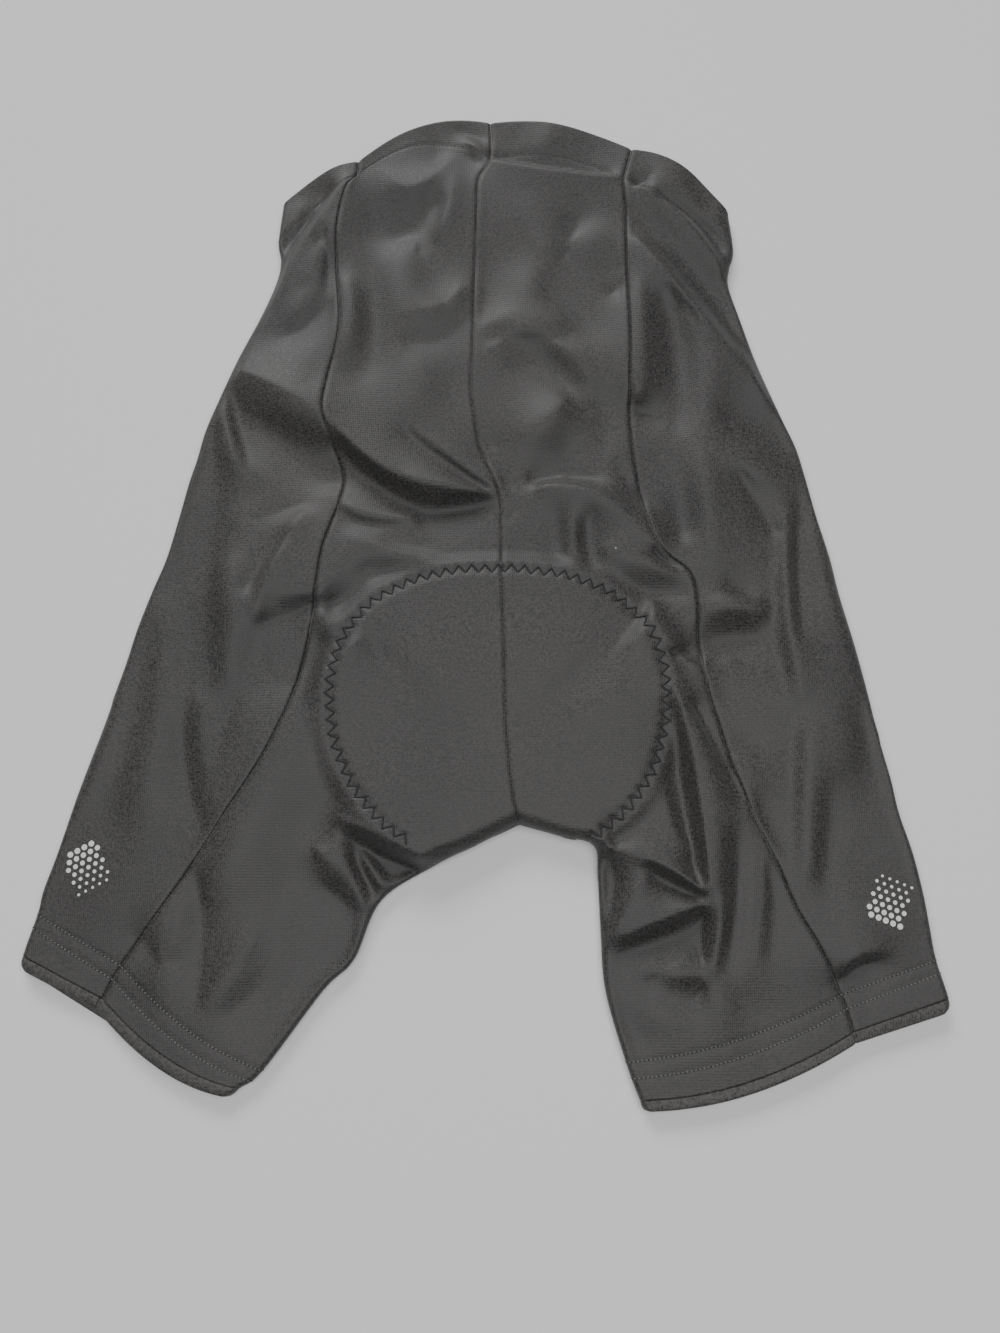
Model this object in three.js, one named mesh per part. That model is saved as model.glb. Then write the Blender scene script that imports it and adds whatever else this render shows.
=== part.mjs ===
import * as THREE from "three";

// Cycling shorts laid flat on their front, with the padded seat up and the waist away from the viewer.
// Millimetres. +X is to the right, +Y towards the waist, +Z up, and the front panels lie on Z = 0.
// Each half is one surface: back panel, side panel round the outer fold, side panel below, front panel.
// A section is a line across a half, from its inner edge over the back seam to its outer fold.

// Cloth
const WALL = 1.2; // one layer of the heavy knit
const TURNED_WALL = 2.2; // hem and waist casing, where the knit is turned over
const GRIP_WALL = 1.8; // ribbed elastic at the leg edge
const PAD_THICK = 4.4; // seat pad, one layer
const PAD_CLEARANCE = { flat: 0.6, folded: 1.7 }; // between pad and knit, flat and round the crotch edge
const SEAM_GAP = 0.3; // clearance between pieces that are sewn together

// How the two layers lie
const EDGE_HEIGHT = 7; // whole thickness beside a fold edge
const LOWEST_TOP = 5.2; // the upper layer never lies lower than this
const CROWN_REACH = 45; // distance from a fold edge at which the full crown is reached
const FOLDS_START = 12; // folds reach their full rise this far inside a fold edge
const FOLD_FADE = 0.3; // share of a fold's line over which each end fades out
const FOLDS_ON_PAD = 0.2; // share of a fold's rise that the stiff pad lets through
const PAD_HEIGHT = 15.6; // whole thickness where the pad is folded double
const FRONT_RISE = 0.85; // front rise as a share of the back rise
const SIDE_UNDER = 0.36; // share of the underside that the side panels reach

// Pad outline: an egg, blunt towards the waist
const PAD = { x: 9, y: -75, half: 93, up: 76, down: 89, blunt: 2.5, round: 2 };
const PAD_SLOPE = 15; // the lift fades over this distance outside the stitching
const PAD_INSET = 12; // pad edge inside the stitching

// Special sections, by their row in the tables
const WAIST_EDGE = 0;
const CASING_LINE = 1;
const CROTCH = 17;
const HEM_LINE = 23;
const GRIP_LINE = 24;
const LEG_EDGE = 25;

// Mesh density
const ROWS_PER_SECTION = 2;
const ROLL_STEPS = 3; // cells round a quarter of a fold edge
const COLUMNS = { back: 12, side: 8, under: 4, front: 4 };
const FINEST_FOLD = 8; // folds narrower than this are widened to suit the mesh
const SMALLEST_FOLD = 2.5; // folds lower than this are left out
const THICK_SECTIONS = { from: 13, full: 15, until: 19.5, to: 21.5 }; // sections that run into the pad's fold

// Centre back seam from the waist edge down to the crotch, and how high the cloth lies there
const CENTRE = table(["x", "y", "crown"], [
  [4, 292, 13],
  [4, 267, 12],
  [-3, 250, 12],
  [-4, 227, 12],
  [-5, 195, 11],
  [-6, 150, 10],
  [-7, 114, 10],
  [-5, 95, 10],
  [-2, 78, 10],
  [3, 65, 10],
  [10, 47, 10],
  [11, 15, 10],
  [11, -5, 10],
  [12, -45, 10],
  [13, -85, 10],
  [16, -120, 9],
  [19, -137, 9],
  [20, -142, 9],
]);

// Crotch edge and inner leg edge from the crotch down to the leg edge
const INNER_LEG = {
  left: table(["x", "y", "crown"], [
    [20, -142, 9],
    [-3, -154, 9],
    [-24, -164, 9],
    [-54, -183, 9],
    [-68, -214, 9],
    [-84, -230, 8],
    [-114, -270, 7],
    [-126, -279, 6.5],
    [-132, -283, 6.5],
  ]),
  right: table(["x", "y", "crown"], [
    [20, -142, 9],
    [43, -149, 9],
    [61, -154, 9],
    [63, -172, 9],
    [64, -200, 9],
    [66, -230, 8],
    [76, -266, 7],
    [83, -285, 6.5],
    [86, -290, 6.5],
  ]),
};

// Back seam and outer fold of each section. A bow bends the section towards the waist, or the hem if negative
const OUTER_COLUMNS = ["seamX", "seamY", "foldX", "foldY", "backBow", "sideBow"];
const OUTER = {
  left: table(OUTER_COLUMNS, [
    [-79, 262, -128, 232, 15, 3],
    [-73, 253, -125, 208, 19, 4],
    [-85, 243, -123, 199, 8, 2],
    [-89, 218, -126, 185, 2, 0],
    [-89, 190, -134, 163, 0, 0],
    [-86, 152, -147, 134, 0, 0],
    [-92, 115, -157, 108, 0, 0],
    [-93, 95, -164, 88, 0, 0],
    [-88, 79, -168, 70, 0, 0],
    [-82, 63, -172, 55, 0, 0],
    [-82, 46, -176, 36, 0, 0],
    [-91, 15, -182, 10, 0, 0],
    [-94, -8, -189, -10, 0, 0],
    [-98, -38, -196, -32, 0, 0],
    [-103, -62, -201, -52, 0, 0],
    [-108, -79, -205, -66, 0, 0],
    [-111, -86, -207, -73, 0, 0],
    [-113, -91, -208, -78, 0, 0],
    [-119, -104, -212, -92, 0, 0],
    [-127, -118, -217, -108, 0, 0],
    [-140, -138, -223, -128, 0, 0],
    [-156, -164, -231, -158, 0, 0],
    [-170, -185, -237, -178, -2, 0],
    [-192, -217, -239, -190, -7, 0],
    [-201, -234, -245, -212, -8, 0],
    [-203, -239, -247, -217, -8, 0],
  ]),
  right: table(OUTER_COLUMNS, [
    [91, 271, 156, 224, 9, 8],
    [86, 251, 153, 206, 11, 5],
    [86, 239, 150, 194, 6, 2],
    [87, 225, 149, 182, 2, 0],
    [86, 197, 155, 160, 0, 0],
    [87, 150, 164, 130, 0, 0],
    [86, 115, 176, 98, 0, 0],
    [86, 96, 184, 78, 0, 0],
    [87, 76, 188, 62, 0, 0],
    [89, 59, 191, 48, 0, 0],
    [92, 42, 194, 34, 0, 0],
    [101, 16, 200, 10, 0, 0],
    [119, -3, 204, -12, 0, 0],
    [122, -38, 211, -42, 0, 0],
    [126, -68, 216, -67, 0, 0],
    [132, -90, 219, -84, 0, 0],
    [135, -101, 221, -93, 0, 0],
    [137, -110, 222, -100, 0, 0],
    [143, -125, 226, -118, 0, 0],
    [150, -142, 229, -136, 0, 0],
    [160, -164, 235, -158, 0, 0],
    [169, -187, 239, -180, 0, 0],
    [180, -207, 241, -197, -2, 0],
    [191, -232, 243, -214, -6, 0],
    [196, -251, 248, -234, -8, 0],
    [197, -256, 249, -239, -8, 0],
  ]),
};

// Folds of the upper layer. A fold rises along its line and fades to its left and right, seen along the line
// from start over middle to end. A trough has a negative rise, and a fold with one steep side is a shelf.
const FOLD_COLUMNS = ["rise", "left", "right", "x0", "y0", "x1", "y1", "x2", "y2"];
const FOLDS = table(FOLD_COLUMNS, [
  // waist, left
  [7, 6, 30, -121, 189, -103, 223, -84, 249],
  [5, 22, 6, 0, 268, -31, 256, -64, 247],
  [-3, 9, 9, -72, 232, -60, 220, -34, 232],
  [3, 9, 9, -15, 250, -20, 236, -22, 220],
  [-3, 10, 12, -84, 187, -67, 150, -84, 118],
  [3, 12, 12, -110, 208, -121, 182, -131, 152],
  [-2, 8, 8, -28, 156, -17, 163, -6, 171],
  // waist, right
  [7, 6, 30, 0, 266, 45, 256, 88, 251],
  [7, 6, 28, 86, 250, 123, 219, 148, 178],
  [-3, 6, 6, 105, 237, 130, 222, 145, 196],
  [-3, 10, 12, 88, 228, 99, 213, 113, 182],
  [-2, 7, 7, 56, 172, 72, 171, 84, 181],
  // upper left seat
  [10, 46, 8, -100, 100, -54, 54, 14, 46],
  [4, 20, 6, -50, 92, -22, 66, 12, 45],
  [-4, 8, 13, -62, 50, -30, 38, 10, 41],
  [-4, 20, 20, -140, 120, -106, 90, -85, 54],
  [5, 22, 14, -150, 134, -118, 120, -84, 112],
  [3, 6, 8, -84, 39, -63, 29, -38, 31],
  [3, 8, 10, -79, 52, -100, 44, -131, 32],
  [-2.5, 12, 12, -145, 104, -141, 84, -134, 62],
  // upper right seat
  [-4, 12, 14, 16, 132, 62, 114, 27, 54],
  [5, 15, 15, 28, 120, 38, 102, 30, 80],
  [-2.5, 10, 10, 7, 151, 28, 148, 48, 143],
  [4, 16, 10, 24, 55, 58, 44, 106, 5],
  [-2, 9, 9, 40, 25, 52, 22, 65, 17],
  [-2.5, 7, 7, 73, -4, 94, -7, 115, -8],
  [-3, 14, 16, 92, 142, 99, 112, 112, 82],
  [-2.5, 9, 9, 114, 51, 117, 35, 116, 17],
  // right side
  [6, 10, 42, 89, 208, 124, 160, 173, 96],
  [-2.5, 10, 14, 150, 50, 170, 16, 165, -42],
  [3, 10, 12, 184, 42, 184, 0, 174, -40],
  [-2.5, 9, 10, 124, -33, 140, -32, 158, -30],
  // right leg
  [6, 18, 7, 58, -152, 90, -163, 121, -181],
  [7, 18, 7, 91, -160, 80, -190, 62, -220],
  [7, 20, 7, 100, -122, 118, -168, 120, -222],
  [3.5, 9, 9, 121, -177, 97, -197, 71, -205],
  [-2.5, 8, 8, 90, -229, 101, -234, 113, -237],
  [2, 7, 7, 76, -250, 92, -254, 106, -246],
  [-2.5, 9, 9, 169, -142, 169, -165, 165, -188],
  [-2.5, 9, 9, 190, -130, 188, -160, 181, -187],
  [-2.5, 10, 10, 156, -170, 155, -195, 152, -222],
  [-3, 11, 11, 191, -226, 202, -220, 212, -212],
  // left leg
  [3, 7, 8, -76, -139, -54, -150, -33, -169],
  [2.5, 7, 7, -71, -145, -69, -158, -63, -174],
  [-2.5, 15, 15, -170, -104, -158, -155, -140, -208],
  [-2.5, 9, 9, -196, -203, -183, -210, -168, -214],
]);

// Names the columns of a table of rows
function table(columns, rows) {
  return rows.map((row) => Object.fromEntries(columns.map((name, i) => [name, row[i]])));
}

function clamp(value, low, high) {
  return Math.min(Math.max(value, low), high);
}

function smooth(t) {
  const c = clamp(t, 0, 1);
  return c * c * (3 - 2 * c);
}

function mix(a, b, f) {
  return a + (b - a) * f;
}

// Smooth curve through one column of a table; s counts rows
function along(rows, column, s) {
  const last = rows.length - 1;
  const i = clamp(Math.floor(s), 0, last - 1);
  const f = s - i;
  const [a, b, c, d] = [i - 1, i, i + 1, i + 2].map((k) => rows[clamp(k, 0, last)][column]);
  return b + 0.5 * f * (c - a + f * (2 * a - 5 * b + 4 * c - d + f * (3 * (b - c) + d - a)));
}

// Inner edge of a half at section s: the centre seam, then the inner leg
function innerEdge(half, s) {
  const rows = s <= CROTCH ? CENTRE : INNER_LEG[half];
  const at = s <= CROTCH ? s : s - CROTCH;
  return { x: along(rows, "x", at), y: along(rows, "y", at), crown: along(rows, "crown", at) };
}

function backSeam(half, s) {
  return { x: along(OUTER[half], "seamX", s), y: along(OUTER[half], "seamY", s) };
}

function outerFold(half, s) {
  return { x: along(OUTER[half], "foldX", s), y: along(OUTER[half], "foldY", s) };
}

// The centre front seam is a shorter copy of the back one; below the crotch both share the inner leg
function frontInner(half, s) {
  const back = innerEdge(half, s);
  if (s >= CROTCH) return back;
  const crotch = CENTRE[CROTCH];
  return { x: mix(crotch.x, back.x, FRONT_RISE), y: mix(crotch.y, back.y, FRONT_RISE) };
}

// Fold edges seen from above: both outer folds, the crotch edge and the inner legs
const OUTLINE_STEP = 0.5;
const outline = [];
for (const half of ["left", "right"]) {
  outline.push(...segments((s) => outerFold(half, s), WAIST_EDGE, LEG_EDGE));
  outline.push(...segments((s) => innerEdge(half, s), CROTCH, LEG_EDGE));
}

function segments(curve, from, to) {
  const list = [];
  for (let s = from; s < to; s += OUTLINE_STEP) list.push([curve(s), curve(s + OUTLINE_STEP)]);
  return list;
}

// Distance from a point to the nearest fold edge
function edgeDistance(x, y) {
  let nearest = Infinity;
  for (const [a, b] of outline) {
    const dx = b.x - a.x;
    const dy = b.y - a.y;
    const t = clamp(((x - a.x) * dx + (y - a.y) * dy) / (dx * dx + dy * dy), 0, 1);
    nearest = Math.min(nearest, Math.hypot(x - a.x - t * dx, y - a.y - t * dy));
  }
  return nearest;
}

// Each fold's line as short steps
const FOLD_STEPS = 12;
const foldLines = FOLDS.filter((fold) => Math.abs(fold.rise) >= SMALLEST_FOLD).map((fold) => {
  const control = { x: 2 * fold.x1 - (fold.x0 + fold.x2) / 2, y: 2 * fold.y1 - (fold.y0 + fold.y2) / 2 };
  const curve = new THREE.QuadraticBezierCurve(
    new THREE.Vector2(fold.x0, fold.y0),
    new THREE.Vector2(control.x, control.y),
    new THREE.Vector2(fold.x2, fold.y2),
  );
  return { fold, points: curve.getPoints(FOLD_STEPS) };
});

// Height that one fold adds at a point
function foldHeight({ fold, points }, x, y) {
  let best = { distance: Infinity };
  for (let i = 0; i < FOLD_STEPS; i += 1) {
    const a = points[i];
    const dx = points[i + 1].x - a.x;
    const dy = points[i + 1].y - a.y;
    const t = clamp(((x - a.x) * dx + (y - a.y) * dy) / (dx * dx + dy * dy), 0, 1);
    const offX = x - a.x - t * dx;
    const offY = y - a.y - t * dy;
    const distance = Math.hypot(offX, offY);
    if (distance < best.distance) {
      best = { distance, onLeft: dx * offY - dy * offX > 0, part: (i + t) / FOLD_STEPS };
    }
  }
  const width = Math.max(best.onLeft ? fold.left : fold.right, FINEST_FOLD);
  const across = clamp(1 - (best.distance / width) ** 2, 0, 1) ** 2;
  const fade = smooth(best.part / FOLD_FADE) * smooth((1 - best.part) / FOLD_FADE);
  return fold.rise * across * fade;
}

// 1 on the pad, falling to 0 outside its stitching
function padShare(x, y) {
  const reach = y > PAD.y ? PAD.up : PAD.down;
  const power = y > PAD.y ? PAD.blunt : PAD.round;
  const across = Math.abs(x - PAD.x) / PAD.half;
  const lengthwise = Math.abs(y - PAD.y) / reach;
  const ring = (across ** power + lengthwise ** power) ** (1 / power);
  return smooth(1 - ((ring - 1) * PAD.half) / PAD_SLOPE);
}

// Whole thickness of the shorts at a point, with a soft stop at the lowest height
function thickness(x, y, crown, distance) {
  const pad = padShare(x, y);
  const foldShare = smooth(distance / FOLDS_START) * mix(1, FOLDS_ON_PAD, pad);
  let height = mix(EDGE_HEIGHT, crown, smooth(distance / CROWN_REACH));
  for (const line of foldLines) height += foldHeight(line, x, y) * foldShare;
  const spare = mix(height, PAD_HEIGHT, pad) - LOWEST_TOP;
  return LOWEST_TOP + (spare + Math.hypot(spare, 1)) / 2;
}

// Outer face of the upper or lower layer, rolled off round the fold edges
function onFace(point, crown, over, gap) {
  const distance = edgeDistance(point.x, point.y);
  const half = thickness(point.x, point.y, crown, distance) / 2;
  const near = 1 - clamp(distance / half, 0, 1);
  const roll = Math.sqrt(1 - near * near) * (half - gap / 2);
  const z = over ? half + gap / 2 + roll : half - gap / 2 - roll;
  return new THREE.Vector3(point.x, point.y, z);
}

// Distance across a stretch, with its first cells crowded round the fold edge where it starts
function crowded(g, columns, share) {
  const rollPart = ROLL_STEPS / columns;
  if (g < rollPart) return share * (1 - Math.cos(((g / rollPart) * Math.PI) / 2));
  return share + ((1 - share) * (g - rollPart)) / (1 - rollPart);
}

// Point on one stretch of a half. g runs from 0 to 1 in the order back, side, under, front
function stretchPoint(half, stretch, s, g, gap) {
  const inner = innerEdge(half, s);
  const fold = outerFold(half, s);
  const seam = backSeam(half, s);
  const front = frontInner(half, s);
  const frontSeam = { x: mix(fold.x, front.x, SIDE_UNDER), y: mix(fold.y, front.y, SIDE_UNDER) };
  const ends = {
    back: [inner, seam],
    side: [seam, fold],
    under: [fold, frontSeam],
    front: [frontSeam, front],
  }[stretch];
  const length = Math.hypot(ends[1].x - ends[0].x, ends[1].y - ends[0].y);
  const { from, full, until, to } = THICK_SECTIONS;
  const thickPart = smooth((s - from) / (full - from)) * smooth((to - s) / (to - until));
  const onInner = stretch === "back" || stretch === "front";
  const rollWidth = EDGE_HEIGHT / 2 + (onInner ? thickPart * (PAD_HEIGHT - EDGE_HEIGHT) / 2 : 0);
  const startsAtEdge = stretch === "back" || stretch === "under";
  const share = rollWidth / length;
  const columns = COLUMNS[stretch];
  let f = startsAtEdge ? crowded(g, columns, share) : 1 - crowded(1 - g, columns, share);
  const trim = gap / 2 / length;
  const atCentre = onInner && s < CROTCH;
  const low = stretch === "under" || (stretch === "back" && !atCentre) ? 0 : trim;
  const high = stretch === "side" || (stretch === "front" && !atCentre) ? 0 : trim;
  f = mix(low, 1 - high, f);
  const bow = { back: "backBow", side: "sideBow" }[stretch];
  const rise = bow ? along(OUTER[half], bow, s) * 4 * f * (1 - f) : 0;
  const point = { x: mix(ends[0].x, ends[1].x, f), y: mix(ends[0].y, ends[1].y, f) + rise };
  const over = stretch === "back" || stretch === "side";
  return onFace(point, inner.crown, over, gap);
}

// A whole number of stretches in turn: u counts stretches
function panelPoint(half, stretches, s, u, gap) {
  const k = clamp(Math.floor(u), 0, stretches.length - 1);
  return stretchPoint(half, stretches[k], s, u - k, gap);
}

// Outward direction of a surface at (s, u), by small differences that stay inside its range
const NUDGE = 0.004;
function outward(surface, s, u, range, sign) {
  const s0 = Math.max(s - NUDGE, range.s0);
  const s1 = Math.min(s + NUDGE, range.s1);
  const u0 = Math.max(u - NUDGE, range.u0);
  const u1 = Math.min(u + NUDGE, range.u1);
  const ds = surface(s1, u).sub(surface(s0, u));
  const du = surface(s, u1).sub(surface(s, u0));
  return du.cross(ds).normalize().multiplyScalar(sign);
}

// Closed solid between an outer grid and the same grid moved inwards. loops joins its last column to its first
function gridSolid(outer, inner, loops) {
  const rows = outer.length;
  const columns = outer[0].length;
  const points = [...outer.flat(), ...inner.flat()];
  const at = (layer, i, j) => layer * rows * columns + i * columns + (j % columns);
  const faces = [];
  const quad = (a, b, c, d) => faces.push(a, b, c, a, c, d);
  const lastColumn = loops ? columns : columns - 1;
  for (let i = 0; i < rows - 1; i += 1) {
    for (let j = 0; j < lastColumn; j += 1) {
      quad(at(0, i, j), at(0, i + 1, j), at(0, i + 1, j + 1), at(0, i, j + 1));
      quad(at(1, i, j), at(1, i, j + 1), at(1, i + 1, j + 1), at(1, i + 1, j));
    }
    if (!loops) {
      quad(at(0, i, 0), at(1, i, 0), at(1, i + 1, 0), at(0, i + 1, 0));
      quad(at(0, i, lastColumn), at(0, i + 1, lastColumn), at(1, i + 1, lastColumn), at(1, i, lastColumn));
    }
  }
  for (let j = 0; j < lastColumn; j += 1) {
    quad(at(0, 0, j), at(0, 0, j + 1), at(1, 0, j + 1), at(1, 0, j));
    quad(at(0, rows - 1, j), at(1, rows - 1, j), at(1, rows - 1, j + 1), at(0, rows - 1, j + 1));
  }
  return solidGeometry(points, faces);
}

// Turns the faces round where the volume comes out negative
function solidGeometry(points, faces) {
  let volume = 0;
  for (let k = 0; k < faces.length; k += 3) {
    const [a, b, c] = [points[faces[k]], points[faces[k + 1]], points[faces[k + 2]]];
    volume += a.dot(b.clone().cross(c));
  }
  if (volume < 0) faces.reverse();
  const geometry = new THREE.BufferGeometry();
  const numbers = points.flatMap((point) => [point.x, point.y, point.z]);
  geometry.setAttribute("position", new THREE.Float32BufferAttribute(numbers, 3));
  geometry.setIndex(faces);
  return geometry;
}

// Wall over a range of sections and stretches, with its end rows set back for the seam gap
function clothWall({ half, stretches, from, to, wall, gap = SEAM_GAP, loops = false }) {
  const surface = (s, u) => panelPoint(half, stretches, s, u, gap);
  const range = { s0: from, s1: to, u0: 0, u1: stretches.length };
  const sign = half === "left" ? 1 : -1;
  const rowCount = Math.max(1, Math.round((to - from) * ROWS_PER_SECTION));
  const across = stretches.flatMap((name, k) => {
    const cells = COLUMNS[name];
    return Array.from({ length: cells }, (_, j) => k + j / cells);
  });
  if (!loops) across.push(stretches.length);
  const outer = [];
  const inner = [];
  for (let i = 0; i <= rowCount; i += 1) {
    const line = across.map((u) => {
      const start = from + (from > WAIST_EDGE ? setBack(surface, from, u, 1) : 0);
      const end = to - (to < LEG_EDGE ? setBack(surface, to, u, -1) : 0);
      const s = mix(start, end, i / rowCount);
      const point = surface(s, u);
      return [point, point.clone().addScaledVector(outward(surface, s, u, range, sign), -wall)];
    });
    outer.push(line.map((pair) => pair[0]));
    inner.push(line.map((pair) => pair[1]));
  }
  return gridSolid(outer, inner, loops);
}

// How far in section units an end row is set back for the seam gap, with some spare for steep folds
function setBack(surface, s, u, direction) {
  const step = surface(s + direction * NUDGE, u).distanceTo(surface(s, u)) / NUDGE;
  return (0.8 * SEAM_GAP) / step;
}

// The crotch edge under a given x
function crotchEdgeY(x) {
  const half = x < CENTRE[CROTCH].x ? "left" : "right";
  const edge = INNER_LEG[half];
  for (let i = 0; i < edge.length - 1; i += 1) {
    const [a, b] = [edge[i], edge[i + 1]];
    if ((x - a.x) * (x - b.x) <= 0) return mix(a.y, b.y, (x - a.x) / (b.x - a.x));
  }
  return edge[0].y;
}

// Half width of the pad inside its stitching, at a level between the waist side and the crotch
function padHalfWidth(level) {
  const reach = level > PAD.y ? PAD.up : PAD.down;
  const power = level > PAD.y ? PAD.blunt : PAD.round;
  const lengthwise = Math.abs(level - PAD.y) / reach;
  return PAD.half * (1 - lengthwise ** power) ** (1 / power) - PAD_INSET;
}

// The pad lies against the back panels and folds round the crotch edge. v runs 0 to 1 above and 1 to 2 below
const PAD_ROWS = 11;
const PAD_COLUMNS = 14;
const PAD_START_Y = -5;
const PAD_END_Y = -150;
const PAD_FOLD_REACH = 2.5; // the wider clearance grows over the lower three fifths of each half of the pad
const PAD_DRIFT = 4; // the pad's middle line leans this far to the right on its way down
function padPoint(v, u) {
  const share = PAD_HEIGHT / 2 / (PAD_START_Y - PAD_END_Y);
  const depth = 1 - crowded(Math.abs(1 - v), PAD_ROWS, share);
  const x = PAD.x + PAD_DRIFT * depth + (u - 1) * padHalfWidth(mix(PAD_START_Y, PAD_END_Y, depth));
  const edgeX = PAD.x + PAD_DRIFT + (u - 1) * padHalfWidth(PAD_END_Y);
  const point = { x, y: mix(PAD_START_Y, crotchEdgeY(edgeX), depth) };
  return onFace(point, CENTRE[CROTCH].crown, v <= 1, 0);
}

function seatPad() {
  const range = { s0: 0, s1: 2, u0: 0, u1: 2 };
  const outer = [];
  const inner = [];
  for (let i = 0; i <= 2 * PAD_ROWS; i += 1) {
    const line = Array.from({ length: PAD_COLUMNS + 1 }, (_, j) => {
      const [v, u] = [i / PAD_ROWS, (2 * j) / PAD_COLUMNS];
      const inwards = outward(padPoint, v, u, range, 1);
      const point = padPoint(v, u);
      const folded = smooth(PAD_FOLD_REACH * (1 - Math.abs(1 - v)) - 1);
      const skin = WALL + mix(PAD_CLEARANCE.flat, PAD_CLEARANCE.folded, folded);
      return [skin, skin + PAD_THICK].map((depth) => point.clone().addScaledVector(inwards, depth));
    });
    outer.push(line.map((pair) => pair[0]));
    inner.push(line.map((pair) => pair[1]));
  }
  return gridSolid(outer, inner, false);
}

// Finishes: charcoal knit, the darker ribbed elastic and the foam of the pad
const FINISHES = {
  knit: { color: 0x4a4847, roughness: 0.78, metalness: 0 },
  casing: { color: 0x464443, roughness: 0.8, metalness: 0 },
  elastic: { color: 0x33373a, roughness: 0.7, metalness: 0 },
  foam: { color: 0x5a5552, roughness: 0.9, metalness: 0 },
};

const shorts = new THREE.Group();
function addPiece(name, geometry, finish) {
  const mesh = new THREE.Mesh(geometry, new THREE.MeshStandardMaterial(FINISHES[finish]));
  mesh.name = name;
  shorts.add(mesh);
}

// A panel, its casing and its hem come from the same stretches of the surface
const PANELS = [
  { name: "back", stretches: ["back"] },
  { name: "side", stretches: ["side", "under"] },
  { name: "front", stretches: ["front"] },
];
for (const half of ["left", "right"]) {
  for (const { name, stretches } of PANELS) {
    const casing = { half, stretches, from: WAIST_EDGE, to: CASING_LINE, wall: TURNED_WALL };
    const panel = { half, stretches, from: CASING_LINE, to: HEM_LINE, wall: WALL };
    const hem = { half, stretches, from: HEM_LINE, to: GRIP_LINE, wall: TURNED_WALL };
    addPiece(`casing_${name}_${half}`, clothWall(casing), "casing");
    addPiece(`${name}_${half}`, clothWall(panel), "knit");
    addPiece(`hem_${name}_${half}`, clothWall(hem), "knit");
  }
  const ring = { half, stretches: ["back", "side", "under", "front"], from: GRIP_LINE, to: LEG_EDGE };
  addPiece(`grip_${half}`, clothWall({ ...ring, wall: GRIP_WALL, gap: 0, loops: true }), "elastic");
}
addPiece("seat_pad", seatPad(), "foam");

// The origin is under the middle of the shorts
const box = new THREE.Box3().setFromObject(shorts);
shorts.position.set(-(box.min.x + box.max.x) / 2, -(box.min.y + box.max.y) / 2, -box.min.z);

export default shorts;
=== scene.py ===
# %% [markdown]
# # Padded cycling shorts, laid flat
# The real thing is a pair of knit shorts cut from six panels: two backs, two sides and two fronts. It lies
# on its front, so the padded seat is up and the waist points away from us. The solid model already holds
# the form in coarse facets. This lesson lays the same cloth again with fine meshes, then sews and colours
# it.

# %% Load the solid model
import math

import bpy
import numpy as np
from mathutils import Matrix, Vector
from mathutils.bvhtree import BVHTree


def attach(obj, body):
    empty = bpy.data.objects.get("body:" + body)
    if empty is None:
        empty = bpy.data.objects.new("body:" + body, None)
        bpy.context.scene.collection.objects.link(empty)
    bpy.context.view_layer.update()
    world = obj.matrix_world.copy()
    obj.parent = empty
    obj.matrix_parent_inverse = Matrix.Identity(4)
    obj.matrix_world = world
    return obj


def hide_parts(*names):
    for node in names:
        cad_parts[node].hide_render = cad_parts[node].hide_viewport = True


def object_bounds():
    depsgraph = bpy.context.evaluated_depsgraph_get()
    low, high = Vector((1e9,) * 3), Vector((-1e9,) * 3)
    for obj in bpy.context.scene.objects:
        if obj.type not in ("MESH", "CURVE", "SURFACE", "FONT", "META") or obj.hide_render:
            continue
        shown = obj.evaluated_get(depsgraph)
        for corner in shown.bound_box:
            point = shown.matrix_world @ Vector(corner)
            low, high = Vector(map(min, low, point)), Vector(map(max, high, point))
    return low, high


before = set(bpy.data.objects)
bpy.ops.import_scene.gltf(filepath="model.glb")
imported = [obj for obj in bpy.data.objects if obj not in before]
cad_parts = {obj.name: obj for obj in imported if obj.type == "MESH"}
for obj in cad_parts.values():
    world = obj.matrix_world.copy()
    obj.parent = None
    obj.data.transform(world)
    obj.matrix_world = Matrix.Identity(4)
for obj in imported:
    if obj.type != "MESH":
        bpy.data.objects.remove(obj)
cad_low, cad_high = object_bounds()
print("solid model, mm:", [round(1000 * (high - low), 1) for low, high in zip(cad_low, cad_high)])

# %% [markdown]
# ## Sizes
# Everything is drawn in millimetres and turned into metres at the very end. The sizes are the garment's
# own: how thick one layer of knit is, how high the doubled pad stands, where the seams and stitch rows run.

# %% Sizes of the cloth
MM = 0.001
WALL = 1.2
TURNED_WALL = 2.2
GRIP_WALL = 1.8
SEAM_GAP = 0.06
EDGE_HEIGHT = 7.0
LOWEST_TOP = 4.6
CROWN_REACH = 45.0
FOLDS_START = 8.0
FOLDS_ON_PAD = 0.8
PAD_HEIGHT = 15.6
PAD_THICK = 4.4
PAD_SLOPE = 15.0
PAD_INSET = 12.0
PAD = {"x": 9.0, "y": -75.0, "half": 93.0, "up": 76.0, "down": 89.0, "blunt": 2.5, "round": 2.0}
FRONT_RISE = 0.85
SIDE_UNDER = 0.36

# %% Sections with a meaning of their own
WAIST_EDGE, CASING_LINE, CROTCH, HEM_LINE, GRIP_LINE, LEG_EDGE = 0, 1, 17, 23, 24, 25
SECOND_NEEDLE = 23.33
THICK_FROM, THICK_TO, THICK_RAMP = 13, 21.5, 2
HALVES = ("left", "right")

# %% [markdown]
# ## The pattern as it lies
# Each half is drawn as sections, lines that cross from the inner edge over the back seam to the outer fold.
# There is a row for each section, from the waist edge down to the leg edge. A bow bends a section towards
# the waist. This is how a draughtsman lofts a hull, and it keeps the seams where a tailor would look for
# them.

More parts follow.
